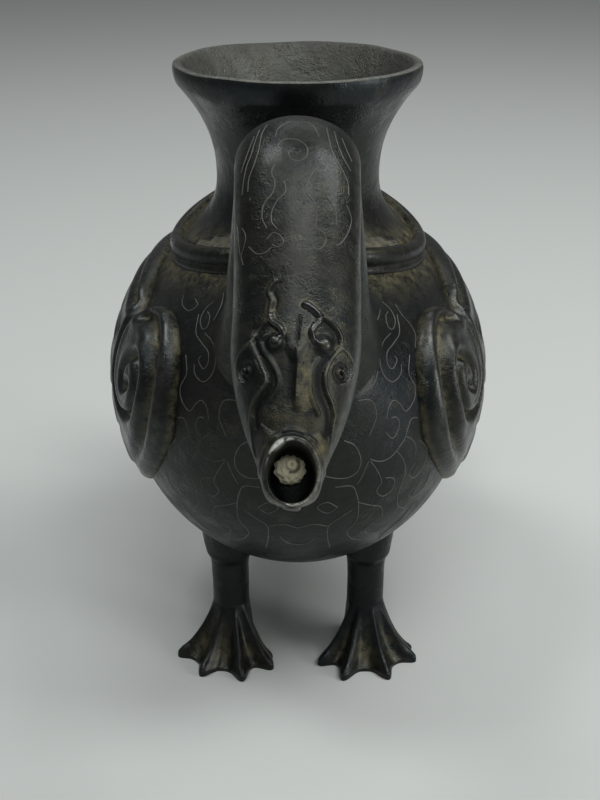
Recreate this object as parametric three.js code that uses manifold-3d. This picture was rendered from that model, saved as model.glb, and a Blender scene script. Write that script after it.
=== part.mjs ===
// A cast bronze water dropper in the shape of a standing duck.
// Sizes are in millimetres, +Z is up and the duck faces -Y.
// Each casting, plate, plug and inlaid wire is a closed solid of its own.
import * as THREE from "three";
import Module from "manifold-3d";

const wasm = await Module();
wasm.setup();

const { sin, cos, sqrt, acos, PI, min, max, exp, hypot } = Math;

// Clearance between pieces that are soldered or fitted together
const jointGap = 0.3;

// Body shell
const bodyHalfWidth = 45;
const bodyHalfLength = 58;
const bodyHalfHeight = 45.8;
const bodyMiddleZ = 71.3;
const bodyWall = 2.6;
const bodyTailLift = 7;
const bodyOpeningRadius = 20;

// Trumpet mouth and its seating ring
const overallHeight = 150;
const mouthRadius = 29;
const lipBandHeight = 3.8;
const lipThickness = 1.4;
const waistRadius = 19.6;
const waistZ = 125;
const footRadius = 27.85;
const trumpetWall = 2.4;
const collarRadius = 31.2;
const collarHeight = 4.9;
const collarBore = 26.2;

// Neck and head, as pairs of points down the outer and inner side, and half widths
const neckWall = 2.2;
const neckStations = [
  { outer: [-16, 84], inner: [-48, 66], half: 0.4 * bodyHalfWidth },
  { outer: [-27, 102], inner: [-53.5, 84], half: 0.369 * bodyHalfWidth },
  { outer: [-33.5, 111], inner: [-55, 95.5], half: 0.351 * bodyHalfWidth },
  { outer: [-36.6, 121], inner: [-55, 108], half: 14.8 },
  { outer: [-38, 130], inner: [-54, 118], half: 13.7 },
  { outer: [-39.6, 138], inner: [-53.2, 126], half: 12.9 },
  { outer: [-42.8, 144.5], inner: [-53.3, 129.6], half: 12.4 },
  { outer: [-47.5, 148.6], inner: [-54, 131.4], half: 12.2 },
  { outer: [-53, 149.9], inner: [-55.2, 131.6], half: 12.1 },
  { outer: [-60, 147], inner: [-56.8, 130], half: 12 },
  { outer: [-67, 140.8], inner: [-59, 127], half: 11.9 },
  { outer: [-74, 133], inner: [-62.5, 121.5], half: 11.8 },
  { outer: [-81, 124.5], inner: [-67.5, 112.5], half: 11.9 },
  { outer: [-86, 119], inner: [-71.5, 106], half: 11.95 },
  { outer: [-90.5, 113.8], inner: [-76.5, 100.5], half: 10.9 },
  { outer: [-94.7, 108.9], inner: [-83.1, 96.8], half: 9 },
  { outer: [-98.3, 104.2], inner: [-89, 94.2], half: 6.7 },
  { outer: [-101.4, 99.7], inner: [-93.8, 92.4], half: 5 },
  { outer: [-103.7, 95.6], inner: [-97.6, 91.7], half: 3.7 },
];
const headJoint = 11.6;
const billJoint = 16.25;
const hollowEnd = 16.9;

// Spout in the top of the bill
const spoutPlace = 16.72;
const spoutHalfWidth = 4.15;
const spoutHalfLength = 5;
const spoutRecess = 3.2;
const spoutFloor = 1.5;
const spoutTubeRadius = 3;
const spoutTubeBore = 2.1;
const spoutTubeLength = 4.5;

// Eyes
const eyePlace = 13.2;
const eyeAngle = 28 * PI / 180;
const eyeRadius = 1.5;
const eyeRingRadius = 2.9;
const reliefRadius = 0.8;

// Wings, with outlines and furrows as shares of the body's half length and half height
const wingThickness = 4.2;
const wingEdge = 0.9;
const wingTop = [
  [-0.772, 0.124], [-0.764, 0.203], [-0.729, 0.341], [-0.666, 0.463], [-0.584, 0.55], [-0.507, 0.6],
  [-0.431, 0.611], [-0.367, 0.583], [-0.321, 0.526], [-0.293, 0.483], [-0.257, 0.515], [-0.217, 0.576],
  [-0.155, 0.633], [-0.034, 0.677], [0.086, 0.701], [0.241, 0.701], [0.448, 0.67], [0.655, 0.6],
  [0.845, 0.485],
];
const wingBottom = [
  [-0.772, 0.124], [-0.764, 0.044], [-0.728, -0.087], [-0.664, -0.216], [-0.578, -0.33],
  [-0.486, -0.408], [-0.379, -0.452], [-0.241, -0.452], [-0.103, -0.408], [0.069, -0.321],
  [0.241, -0.212], [0.483, 0.004], [0.672, 0.234], [0.845, 0.485],
];
const wingRoll = 4;
const wingFurrows = [
  { depth: 2.3, half: 1.35, path: [
    [-0.388, 0.524], [-0.445, 0.531], [-0.519, 0.487], [-0.586, 0.395], [-0.631, 0.277],
    [-0.647, 0.157], [-0.631, 0.026], [-0.579, -0.109], [-0.5, -0.234], [-0.397, -0.334],
  ] },
  { depth: 1.7, half: 1.1, path: [
    [-0.302, 0.48], [-0.297, 0.386], [-0.307, 0.277], [-0.338, 0.172], [-0.403, 0.085], [-0.49, 0.059],
    [-0.559, 0.103], [-0.583, 0.203], [-0.562, 0.312], [-0.51, 0.373], [-0.46, 0.343], [-0.445, 0.26],
    [-0.476, 0.199],
  ] },
  { depth: 1.3, half: 1.1, path: [
    [-0.207, 0.507], [-0.069, 0.552], [0.138, 0.583], [0.414, 0.574], [0.655, 0.531],
  ] },
  { depth: 0.9, half: 1.1, path: [
    [-0.19, 0.321], [0.034, 0.376], [0.31, 0.43], [0.621, 0.474],
  ] },
  { depth: 0.9, half: 1.1, path: [
    [-0.224, 0.124], [0.034, 0.179], [0.31, 0.277], [0.621, 0.419],
  ] },
  { depth: 0.9, half: 1.1, path: [
    [-0.293, -0.061], [0, -0.017], [0.276, 0.124], [0.569, 0.332],
  ] },
  { depth: 0.9, half: 1.1, path: [
    [-0.397, -0.225], [-0.103, -0.214], [0.172, -0.072], [0.466, 0.168],
  ] },
];

// Legs and webbed feet
const legX = 18;
const legY = -22.6;
const shankRadius = 4.9;
const thighRadius = 7.6;
const thighStartZ = 27.5;
const tenonRadius = 4.4;
const tenonTopZ = 41;
const webReach = 13.8;
const toes = [
  { angle: -44, reach: 16.4 },
  { angle: -16.5, reach: 17.6 },
  { angle: 22, reach: 17.1 },
  { angle: 58, reach: 15.7 },
];
const toeSpread = 9;
const footEdgeHeight = 1.3;
const footRootHeight = 12;
const toeRibHeight = 1.9;

// Tail and rear prop, measured from the rear end of the body, belly plate and core plugs
const tailSections = [
  { beyond: -20, above: 12.7, half: 16, thick: 9 },
  { beyond: -2, above: 17.2, half: 14.5, thick: 6.6 },
  { beyond: 10, above: 21.7, half: 15, thick: 4.4 },
  { beyond: 20, above: 27.2, half: 16.5, thick: 2.6 },
];
const propPath = [[-20, 52], [-13, 40], [-10.5, 26], [-14, 13.5], [-12.5, 4.6], [-6, 3.4],
  [-0.5, 7.2], [-2.6, 12.4]];
const propHalfWidth = 5.2;
const propHalfDepth = 3.8;
const bellyPlateY = 8;
const bellyPlateHalfWidth = 13;
const bellyPlateHalfLength = 17;
const plugRadius = 2.2;
const plugPlaces = [[0.3793, -0.6616], [0.7586, -0.2031]];

// Inlaid wires: on the breast as shares of the body's half width and half height in front view,
// on the neck as place and share of the half width there
const wireHalf = 0.24;
const breastWires = {
  tear: [[-0.4133, 0.714], [-0.4578, 0.679], [-0.48, 0.6376], [-0.4622, 0.6114],
    [-0.4333, 0.6266], [-0.4267, 0.6616]],
  scroll: [[-0.4933, 0.6528], [-0.5, 0.5895], [-0.46, 0.5611], [-0.4222, 0.5393], [-0.4222, 0.5],
    [-0.4511, 0.4716], [-0.4778, 0.4956]],
  return: [[-0.4467, 0.6004], [-0.4, 0.5786], [-0.3778, 0.5306], [-0.3978, 0.4672],
    [-0.4511, 0.4214], [-0.4978, 0.4367]],
  stem: [[-0.5533, 0.4934], [-0.5467, 0.4258], [-0.5778, 0.3668], [-0.5822, 0.3231],
    [-0.5622, 0.2882], [-0.5289, 0.2729],
    [-0.4978, 0.3144], [-0.4622, 0.3428], [-0.4356, 0.321], [-0.4267, 0.2707]],
  curl: [[-0.4267, 0.2096], [-0.4622, 0.1703], [-0.4889, 0.1943], [-0.4978, 0.2293], [-0.4778, 0.2642]],
  branch: [[-0.5956, 0.2162], [-0.5622, 0.2249], [-0.5422, 0.1856], [-0.5267, 0.1419],
    [-0.4956, 0.1092], [-0.4556, 0.0764],
    [-0.4044, 0.0721], [-0.3489, 0.1004]],
  twig: [[-0.5067, 0.0721], [-0.5244, 0.0415], [-0.5378, -0.0131], [-0.5311, -0.0808],
    [-0.5089, -0.1616], [-0.5111, -0.2511], [-0.5622, -0.3253]],
  hook: [[-0.3644, 0.0611], [-0.3911, 0.0197], [-0.4089, -0.0371], [-0.3911, -0.0939],
    [-0.4244, -0.1397], [-0.4644, -0.1245], [-0.4844, -0.083]],
  arc: [[-0.2178, 0.2227], [-0.2733, 0.1856], [-0.3044, 0.1092], [-0.2889, 0.0502],
    [-0.2467, 0.0262], [-0.1911, 0.0306]],
  step: [[-0.1822, -0.0175], [-0.2622, -0.0262], [-0.2889, -0.0808], [-0.3, -0.1463],
    [-0.3, -0.2314], [-0.2867, -0.2707]],
  tail: [[-0.2533, -0.1769], [-0.2133, -0.214], [-0.1533, -0.2686], [-0.1511, -0.369],
    [-0.1644, -0.4651]],
};
const neckWires = {
  plume: [[9.2, -0.384], [10, -0.3445], [10.3, -0.4383], [10.6, -0.5327], [10.9, -0.5169]],
  barb: [[9.9, -0.1847], [10.2, -0.2526], [10.5, -0.3717], [10.8, -0.3727]],
  edge: [[8.2, -0.596], [9, -0.675], [9.8, -0.755], [10.6, -0.7949]],
};

const bronze = { color: 0x2e2d29, roughness: 0.42, metalness: 0.75 };
const agedBronze = { color: 0x3b382e, roughness: 0.6, metalness: 0.6 };
const silver = { color: 0x8f8e86, roughness: 0.35, metalness: 1 };

// Solid from a list of rings of points, joined in order and capped or closed on itself
function ringSolid(rings, closed = false) {
  const count = rings[0].length;
  const points = rings.flat();
  const faces = [];
  const strips = closed ? rings.length : rings.length - 1;
  for (let r = 0; r < strips; r += 1) {
    const next = (r + 1) % rings.length;
    for (let i = 0; i < count; i += 1) {
      const j = (i + 1) % count;
      faces.push([r * count + i, r * count + j, next * count + j]);
      faces.push([r * count + i, next * count + j, next * count + i]);
    }
  }
  if (!closed) {
    for (const [r, turned] of [[0, true], [rings.length - 1, false]]) {
      const middle = points.length;
      points.push([0, 1, 2].map((k) => rings[r].reduce((sum, p) => sum + p[k], 0) / count));
      for (let i = 0; i < count; i += 1) {
        const j = (i + 1) % count;
        const rim = [r * count + i, r * count + j];
        faces.push(turned ? [middle, rim[1], rim[0]] : [middle, rim[0], rim[1]]);
      }
    }
  }
  let volume = 0;
  for (const [a, b, c] of faces) {
    const [p, q, s] = [points[a], points[b], points[c]];
    volume += p[0] * (q[1] * s[2] - q[2] * s[1]) + p[1] * (q[2] * s[0] - q[0] * s[2])
      + p[2] * (q[0] * s[1] - q[1] * s[0]);
  }
  const ordered = volume < 0 ? faces.map(([a, b, c]) => [a, c, b]) : faces;
  return new wasm.Manifold(new wasm.Mesh({
    numProp: 3,
    vertProperties: new Float32Array(points.flat()),
    triVerts: new Uint32Array(ordered.flat()),
  }));
}

// Straight rod of oval section between two points
function rod(from, to, halfAcross, halfOther, sides = 24) {
  const start = new THREE.Vector3(...from);
  const axis = new THREE.Vector3(...to).sub(start).normalize();
  const across = Math.abs(axis.x) > 0.9 ? new THREE.Vector3(0, 1, 0) : new THREE.Vector3(1, 0, 0);
  across.addScaledVector(axis, -across.dot(axis)).normalize();
  const other = new THREE.Vector3().crossVectors(axis, across);
  const ring = (middle) => Array.from({ length: sides }, (_, i) => {
    const turn = i / sides * 2 * PI;
    return new THREE.Vector3(...middle)
      .addScaledVector(across, halfAcross * cos(turn))
      .addScaledVector(other, halfOther * sin(turn)).toArray();
  });
  return ringSolid([ring(from), ring(to)]);
}

function ball(middle, radius) {
  const rings = [];
  for (let i = 1; i < 8; i += 1) {
    const tilt = i / 8 * PI;
    rings.push(Array.from({ length: 14 }, (_, k) => [
      middle[0] + radius * cos(tilt),
      middle[1] + radius * sin(tilt) * cos(k / 14 * 2 * PI),
      middle[2] + radius * sin(tilt) * sin(k / 14 * 2 * PI),
    ]));
  }
  return ringSolid(rings);
}

// Bead or wire swept through points, with each point's outward direction
function sweep(points, outwards, half, sides = 4, closed = false) {
  const path = points.map((p) => new THREE.Vector3(...p));
  const rings = path.map((point, i) => {
    const before = path[closed ? (i + path.length - 1) % path.length : max(0, i - 1)];
    const after = path[closed ? (i + 1) % path.length : min(path.length - 1, i + 1)];
    const along = after.clone().sub(before).normalize();
    const side = new THREE.Vector3().crossVectors(along, new THREE.Vector3(...outwards[i])).normalize();
    const up = new THREE.Vector3().crossVectors(side, along).normalize();
    return Array.from({ length: sides }, (_, k) => {
      const turn = (k + 0.5) / sides * 2 * PI;
      return point.clone().addScaledVector(side, half * cos(turn) * Math.SQRT2)
        .addScaledVector(up, half * sin(turn) * Math.SQRT2).toArray();
    });
  });
  return ringSolid(rings, closed);
}

// Smooth run of values through a list of rows
function smooth(rows, steps, closed = false) {
  const curve = new THREE.CatmullRomCurve3(
    rows.map((row) => new THREE.Vector3(row[0], row[1], row[2] ?? 0)), closed, "centripetal");
  return curve.getPoints(steps).slice(0, closed ? -1 : undefined).map((p) => p.toArray());
}

// Body form: an egg along Y whose rear end rises
function bodyMiddle(y) {
  const share = max(0, y) / bodyHalfLength;
  return bodyMiddleZ + bodyTailLift * share * share;
}

function bodyGirth(y, grow) {
  const share = y / (bodyHalfLength + grow);
  return sqrt(max(0, 1 - share * share));
}

function bodyTop(x, y, grow) {
  const across = x / (bodyHalfWidth + grow);
  const girth = bodyGirth(y, grow);
  return bodyMiddle(y) + (bodyHalfHeight + grow) * sqrt(max(0, girth * girth - across * across));
}

function bodySide(y, z, grow) {
  const lift = (z - bodyMiddle(y)) / (bodyHalfHeight + grow);
  const girth = bodyGirth(y, grow);
  return (bodyHalfWidth + grow) * sqrt(max(0, girth * girth - lift * lift));
}

function bodyFront(x, z, grow) {
  const across = x / (bodyHalfWidth + grow);
  const lift = (z - bodyMiddleZ) / (bodyHalfHeight + grow);
  return -(bodyHalfLength + grow) * sqrt(max(0, 1 - across * across - lift * lift));
}

// Place on the flank from shares of the half length and half height
function flankPlace([along, up]) {
  return [along * bodyHalfLength, bodyMiddleZ + up * bodyHalfHeight];
}

// Place in front view from shares of the half width and half height
function breastPlace([across, up]) {
  return [across * bodyHalfWidth, bodyMiddleZ + up * bodyHalfHeight];
}

function bodyNormal(x, y, z) {
  return new THREE.Vector3(x / bodyHalfWidth ** 2, y / bodyHalfLength ** 2,
    (z - bodyMiddle(y)) / bodyHalfHeight ** 2).normalize().toArray();
}

function bodySolid(grow, slices, sides) {
  const rings = [];
  for (let i = 1; i < slices; i += 1) {
    const y = -(bodyHalfLength + grow) * cos(i / slices * PI);
    const girth = bodyGirth(y, grow);
    rings.push(Array.from({ length: sides }, (_, k) => [
      (bodyHalfWidth + grow) * girth * cos(k / sides * 2 * PI),
      y,
      bodyMiddle(y) + (bodyHalfHeight + grow) * girth * sin(k / sides * 2 * PI),
    ]));
  }
  return ringSolid(rings);
}

const bodySlices = 28;
const bodySides = 44;
const bodySeat = bodySolid(jointGap, bodySlices, bodySides);

// Trumpet and collar, both following the saddle of the duck's back
const trumpetSides = 44;

function seatCurve(turn) {
  return bodyTop(collarRadius * cos(turn), collarRadius * sin(turn), jointGap);
}

const footZ = seatCurve(0) + collarHeight + jointGap;

function trumpetProfile() {
  const steps = 6;
  const outer = [];
  const inner = [];
  for (let i = 0; i <= steps; i += 1) {
    const share = (1 - i / steps) ** 2.3;
    const z = footZ + (waistZ - footZ) * i / steps;
    outer.push([waistRadius + (footRadius - waistRadius) * share, z]);
    inner.push([waistRadius - trumpetWall + (footRadius - waistRadius) * share, z]);
  }
  for (let i = 1; i <= steps; i += 1) {
    const share = (i / steps) ** 2.2;
    outer.push([waistRadius + (mouthRadius - 0.4 - waistRadius) * share,
      waistZ + (overallHeight - lipBandHeight - waistZ) * i / steps]);
    inner.push([waistRadius - trumpetWall + (mouthRadius - lipThickness - waistRadius + trumpetWall) * share,
      waistZ + (overallHeight - 0.3 - waistZ) * i / steps]);
  }
  outer.push([mouthRadius, overallHeight - lipBandHeight + 0.4]);
  outer.push([mouthRadius, overallHeight - 0.5]);
  outer.push([mouthRadius - 0.5, overallHeight]);
  return [...outer, ...inner.reverse()];
}

function trumpetSolid() {
  const profile = trumpetProfile();
  const rings = Array.from({ length: trumpetSides }, (_, i) => {
    const turn = i / trumpetSides * 2 * PI;
    return profile.map(([radius, z]) => {
      const reach = max(0, (waistZ - z) / (waistZ - footZ)) ** 1.6;
      return [radius * cos(turn), radius * sin(turn), z + reach * (seatCurve(turn) - seatCurve(0))];
    });
  });
  return ringSolid(rings, true);
}

function collarSolid() {
  const moulding = [[0.3, 0.1], [0, 1], [0.2, 1.8], [0.35, 2.8], [0, 3.9], [-0.7, 4.35], [-1.8, 4.6]]
    .map(([out, height]) => [collarRadius + out, height]);
  const rings = Array.from({ length: trumpetSides }, (_, i) => {
    const turn = i / trumpetSides * 2 * PI;
    const place = (radius, z) => [radius * cos(turn), radius * sin(turn), z];
    const bottom = [collarBore, (collarBore + collarRadius) / 2, collarRadius]
      .map((radius) => place(radius, bodyTop(radius * cos(turn), radius * sin(turn), jointGap) + 0.15));
    const top = [...moulding, [footRadius, collarHeight], [collarBore, collarHeight]]
      .map(([radius, height]) =>
        place(radius, seatCurve(turn) + height + 0.15 * (1 - height / collarHeight)));
    return [...bottom, ...top];
  });
  return ringSolid(rings, true);
}

// Neck and head form, read at any place along the stations
const neckCurves = ["outer", "inner"].map((side) => new THREE.CatmullRomCurve3(
  neckStations.map((s) => new THREE.Vector3(s.half, ...s[side])), false, "catmullrom", 0.5));
const neckLast = neckStations.length - 1;

function neckPoint(place, turn, grow) {
  const [outer, inner] = neckCurves.map((curve) => curve.getPoint(min(1, place / neckLast)));
  const middle = outer.clone().add(inner).multiplyScalar(0.5);
  const depth = outer.clone().sub(inner);
  depth.x = 0;
  const half = depth.length() / 2 + grow;
  depth.normalize();
  return [
    (outer.x + grow) * cos(turn),
    middle.y + depth.y * half * sin(turn),
    middle.z + depth.z * half * sin(turn),
  ];
}

function neckNormal(place, turn) {
  const near = new THREE.Vector3(...neckPoint(place, turn, 0));
  return new THREE.Vector3(...neckPoint(place, turn, 1)).sub(near).normalize().toArray();
}

function neckSolid(from, to, grow, steps, sides) {
  const rings = [];
  for (let i = 0; i <= steps; i += 1) {
    const place = from + (to - from) * i / steps;
    rings.push(Array.from({ length: sides }, (_, k) => neckPoint(place, k / sides * 2 * PI, grow)));
  }
  return ringSolid(rings);
}

// Plane square to the neck at a place, as unit direction and distance
function neckPlane(place) {
  const across = new THREE.Vector3(...neckPoint(place, PI / 2, 0))
    .sub(new THREE.Vector3(...neckPoint(place, -PI / 2, 0))).normalize();
  const normal = new THREE.Vector3(0, across.z, -across.y);
  const middle = new THREE.Vector3(...neckPoint(place, 0, 0));
  if (new THREE.Vector3(...neckPoint(place + 0.2, 0, 0)).sub(middle).dot(normal) < 0) {
    normal.negate();
  }
  return { normal: normal.toArray(), offset: middle.setX(0).dot(normal) };
}

function after(solid, place, gap) {
  const { normal, offset } = neckPlane(place);
  return solid.trimByPlane(normal, offset + gap);
}

function before(solid, place, gap) {
  const { normal, offset } = neckPlane(place);
  return solid.trimByPlane(normal.map((n) => -n), -offset + gap);
}

// Raised line of the head's relief, as places with shares of the half width there
function reliefBead(rows, radius) {
  const path = smooth(rows, rows.length * 2);
  const points = path.map(([place, share]) => neckPoint(place, acos(share), 0));
  const outwards = path.map(([place, share]) => neckNormal(place, acos(share)));
  return sweep(points, outwards, radius, 5);
}

const crestRows = [[10.9, 0.3389], [11.4, 0.4396], [11.9, 0.37], [12.3, 0.2426], [12.5, 0.15]];
const billRows = [[12.3, 0.6358], [12.8, 0.4995], [13.4, 0.3948], [14, 0.4771], [14.5, 0.6581],
  [15.1, 0.7286], [15.7, 0.7067]];
const browRow = [12.6, 0.3413];
const browRadius = 2;

function eyePoint(side, grow) {
  return neckPoint(eyePlace, side > 0 ? eyeAngle : PI - eyeAngle, grow);
}

function headForm() {
  let form = neckSolid(10, neckLast, 0, 20, 26);
  for (const side of [-1, 1]) {
    for (const rows of [crestRows, billRows]) {
      form = form.add(reliefBead(rows.map(([place, share]) => [place, side * share]), reliefRadius));
    }
    form = form.add(ball(neckPoint(browRow[0], acos(side * browRow[1]), 0), browRadius));
    const turn = side > 0 ? eyeAngle : PI - eyeAngle;
    const normal = new THREE.Vector3(...neckNormal(eyePlace, turn));
    const one = new THREE.Vector3(0, 0, 1).cross(normal).normalize();
    const other = new THREE.Vector3().crossVectors(normal, one);
    const middle = new THREE.Vector3(...eyePoint(side, 0));
    const ring = Array.from({ length: 12 }, (_, i) => middle.clone()
      .addScaledVector(one, eyeRingRadius * cos(i / 12 * 2 * PI))
      .addScaledVector(other, eyeRingRadius * sin(i / 12 * 2 * PI)).toArray());
    form = form.add(sweep(ring, ring.map(() => normal.toArray()), reliefRadius, 4, true));
  }
  for (const side of [-1, 1]) {
    form = form.subtract(ball(eyePoint(side, 0), eyeRadius + jointGap));
  }
  return form;
}

// Spout: an oval recess in the bill's top face, with a small tube through its floor
const spoutMouth = new THREE.Vector3(...neckPoint(spoutPlace, PI / 2, 0));
const spoutAxis = new THREE.Vector3(...neckNormal(spoutPlace, PI / 2));

function alongSpout(distance) {
  return spoutMouth.clone().addScaledVector(spoutAxis, distance).toArray();
}

const neckHollow = neckSolid(0, hollowEnd, -neckWall, 24, 14);
const spoutCut = rod(alongSpout(-spoutRecess), alongSpout(6), spoutHalfWidth, spoutHalfLength)
  .add(rod(alongSpout(-spoutRecess - spoutTubeLength), alongSpout(0), spoutTubeRadius + jointGap,
    spoutTubeRadius + jointGap, 20));
const headHollow = neckHollow.subtract(rod(alongSpout(-spoutRecess - spoutFloor), alongSpout(3),
  spoutHalfWidth + spoutFloor, spoutHalfLength + spoutFloor));
const head = headForm().subtract(headHollow).subtract(spoutCut);

// Distance from a point to a run of points, all as [along, up] on the flank
function awayFrom(point, run) {
  let nearest = Infinity;
  for (let i = 0; i < run.length - 1; i += 1) {
    const step = [run[i + 1][0] - run[i][0], run[i + 1][1] - run[i][1]];
    const offset = [point[0] - run[i][0], point[1] - run[i][1]];
    const length = max(1e-9, step[0] * step[0] + step[1] * step[1]);
    const share = max(0, min(1, (offset[0] * step[0] + offset[1] * step[1]) / length));
    nearest = min(nearest, hypot(offset[0] - share * step[0], offset[1] - share * step[1]));
  }
  return nearest;
}

// Wing: a patch of the body form with a rolled edge, a shoulder volute and furrows like quills
function wingSolid(side) {
  const steps = 36;
  const across = 13;
  const top = smooth(wingTop.map(flankPlace), steps);
  const bottom = smooth(wingBottom.map(flankPlace), steps);
  const outline = [...top, ...[...bottom].reverse()];
  const furrows = wingFurrows.map(({ depth, half, path }) => ({
    depth, half, run: smooth(path.map(flankPlace), path.length * 3) }));
  const lifted = ([y, z], grow) => {
    const onBody = new THREE.Vector3(side * bodySide(y, z, 0), y, z);
    return onBody.addScaledVector(new THREE.Vector3(...bodyNormal(...onBody.toArray())), grow).toArray();
  };
  const rings = [];
  for (let i = 1; i < steps; i += 1) {
    const front = [];
    const back = [];
    for (let k = 0; k <= across; k += 1) {
      const v = (1 - cos(k / across * PI)) / 2;
      const place = [0, 1].map((n) => bottom[i][n] + (top[i][n] - bottom[i][n]) * v);
      const share = min(1, awayFrom(place, outline) / wingRoll);
      const edge = sqrt(max(0, 1 - (1 - share) ** 2));
      const cut = furrows.reduce((sum, furrow) => max(sum,
        furrow.depth * exp(-((awayFrom(place, furrow.run) / furrow.half) ** 2))), 0);
      front.push(lifted(place, jointGap + wingEdge + (wingThickness - wingEdge - cut) * edge));
      back.push(lifted(place, jointGap + 0.15));
    }
    rings.push([...front, ...back.reverse()]);
  }
  return ringSolid(rings);
}

// Leg: tenon, thigh, shank and a webbed foot with four ribbed toes
function footSolid(side) {
  const rings = [];
  for (let degrees = -64; degrees <= 76; degrees += 5) {
    const near = toes.map((toe) => exp(-(((degrees - toe.angle) / toeSpread) ** 2)));
    const reach = webReach + toes.reduce((sum, toe, i) => sum + (toe.reach - webReach) * near[i], 0);
    const rib = toeRibHeight * min(1, near.reduce((a, b) => a + b, 0));
    const turn = degrees * PI / 180;
    const ring = [];
    for (let k = 0; k <= 4; k += 1) {
      ring.push([0.6 + (reach - 0.6) * k / 4, 0]);
    }
    for (let k = 4; k >= 0; k -= 1) {
      const share = k / 4;
      const height = footEdgeHeight + (footRootHeight - footEdgeHeight) * (1 - share) ** 1.9
        + rib * (0.35 + 0.65 * share);
      ring.push([0.6 + (reach - 0.6) * share * 0.97, height]);
    }
    rings.push(ring.map(([out, z]) => [
      side * (legX + out * sin(turn)), legY - out * cos(turn), z]));
  }
  return ringSolid(rings);
}

function legSolid(side) {
  const middle = (z) => [side * legX, legY, z];
  const stages = [[shankRadius + 0.7, 0], [shankRadius + 0.5, 4], [shankRadius, 9],
    [shankRadius, thighStartZ], [thighRadius, 36], [thighRadius, tenonTopZ]];
  const rings = stages.map(([radius, z]) => Array.from({ length: 20 }, (_, i) => [
    side * legX + radius * cos(i / 20 * 2 * PI), legY + radius * sin(i / 20 * 2 * PI), z]));
  return ringSolid(rings).subtract(bodySeat)
    .add(rod(middle(10), middle(tenonTopZ), tenonRadius, tenonRadius))
    .add(footSolid(side));
}

function tailSolid() {
  const rings = smooth(tailSections.map((s) => [
    bodyHalfLength + s.beyond, bodyMiddleZ + s.above, s.half]), 12).map(([y, z, half], i) => {
    const share = i / 12 * (tailSections.length - 1);
    const low = min(tailSections.length - 2, Math.floor(share));
    const thick = tailSections[low].thick
      + (tailSections[low + 1].thick - tailSections[low].thick) * (share - low);
    return Array.from({ length: 24 }, (_, k) => [
      half * cos(k / 24 * 2 * PI), y, z + thick * sin(k / 24 * 2 * PI)]);
  });
  return ringSolid(rings).subtract(bodySeat);
}

function propSolid() {
  const path = smooth(propPath.map(([beyond, z]) => [bodyHalfLength + beyond, z]), 24);
  const rings = path.map(([y, z], i) => {
    const [a, b] = [path[max(0, i - 1)], path[min(path.length - 1, i + 1)]];
    const length = hypot(b[0] - a[0], b[1] - a[1]);
    const slope = [(b[0] - a[0]) / length, (b[1] - a[1]) / length];
    const taper = i > path.length - 6 ? 0.62 + 0.06 * (path.length - i) : 1;
    return Array.from({ length: 14 }, (_, k) => {
      const turn = k / 14 * 2 * PI;
      const out = propHalfDepth * taper * sin(turn);
      return [propHalfWidth * taper * cos(turn), y - slope[1] * out, z + slope[0] * out];
    });
  });
  return ringSolid(rings).trimByPlane([0, 0, 1], 0).subtract(bodySeat);
}

// Body shell with its openings, and the pieces that are let into it
const bodyInside = bodySolid(-bodyWall, 16, 24);
const fullShell = bodySolid(0, bodySlices, bodySides).subtract(bodyInside);
const bellyRod = (grow) => rod([0, bellyPlateY, 10], [0, bellyPlateY, bodyMiddleZ],
  bellyPlateHalfWidth + grow, bellyPlateHalfLength + grow, 32);
const plugRod = (side, [y, z], grow) => rod([side * 8, y, z], [side * 60, y, z],
  plugRadius + grow, plugRadius + grow, 16);

let bodyShell = fullShell
  .subtract(rod([0, 0, bodyMiddleZ], [0, 0, overallHeight], bodyOpeningRadius, bodyOpeningRadius, 40))
  .subtract(neckHollow)
  .subtract(bellyRod(0));
for (const side of [-1, 1]) {
  bodyShell = bodyShell.subtract(rod([side * legX, legY, 10], [side * legX, legY, bodyMiddleZ],
    tenonRadius + jointGap, tenonRadius + jointGap));
  for (const place of plugPlaces.map(flankPlace)) {
    bodyShell = bodyShell.subtract(plugRod(side, place, 0));
  }
}

// The group of named meshes
const dropper = new THREE.Group();
dropper.name = "duck_water_dropper";

function addPiece(name, solid, look) {
  const { vertProperties, triVerts } = solid.getMesh();
  const geometry = new THREE.BufferGeometry();
  geometry.setAttribute("position", new THREE.BufferAttribute(vertProperties, 3));
  geometry.setIndex(new THREE.BufferAttribute(triVerts, 1));
  geometry.computeVertexNormals();
  const mesh = new THREE.Mesh(geometry, new THREE.MeshStandardMaterial(look));
  mesh.name = name;
  dropper.add(mesh);
}

const sides = [["left", -1], ["right", 1]];

addPiece("body_shell", bodyShell, bronze);
addPiece("belly_plate", fullShell.intersect(bellyRod(-jointGap)), bronze);
addPiece("trumpet_mouth", trumpetSolid(), agedBronze);
addPiece("trumpet_collar", collarSolid(), bronze);
addPiece("duck_neck", before(neckSolid(0, 13, 0, 28, 26).subtract(neckHollow), headJoint, jointGap)
  .subtract(bodySeat), bronze);
addPiece("duck_head", before(after(head, headJoint, 0), billJoint, 0), bronze);
addPiece("lower_bill", after(head, billJoint, jointGap), bronze);
addPiece("spout_tube", rod(alongSpout(-spoutRecess - spoutTubeLength + 1.5), alongSpout(1.5 - spoutRecess),
  spoutTubeRadius, spoutTubeRadius, 20)
  .subtract(rod(alongSpout(-9), alongSpout(0), spoutTubeBore, spoutTubeBore, 20)), agedBronze);
addPiece("tail_fan", tailSolid(), bronze);
addPiece("rear_prop", propSolid(), bronze);
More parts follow.
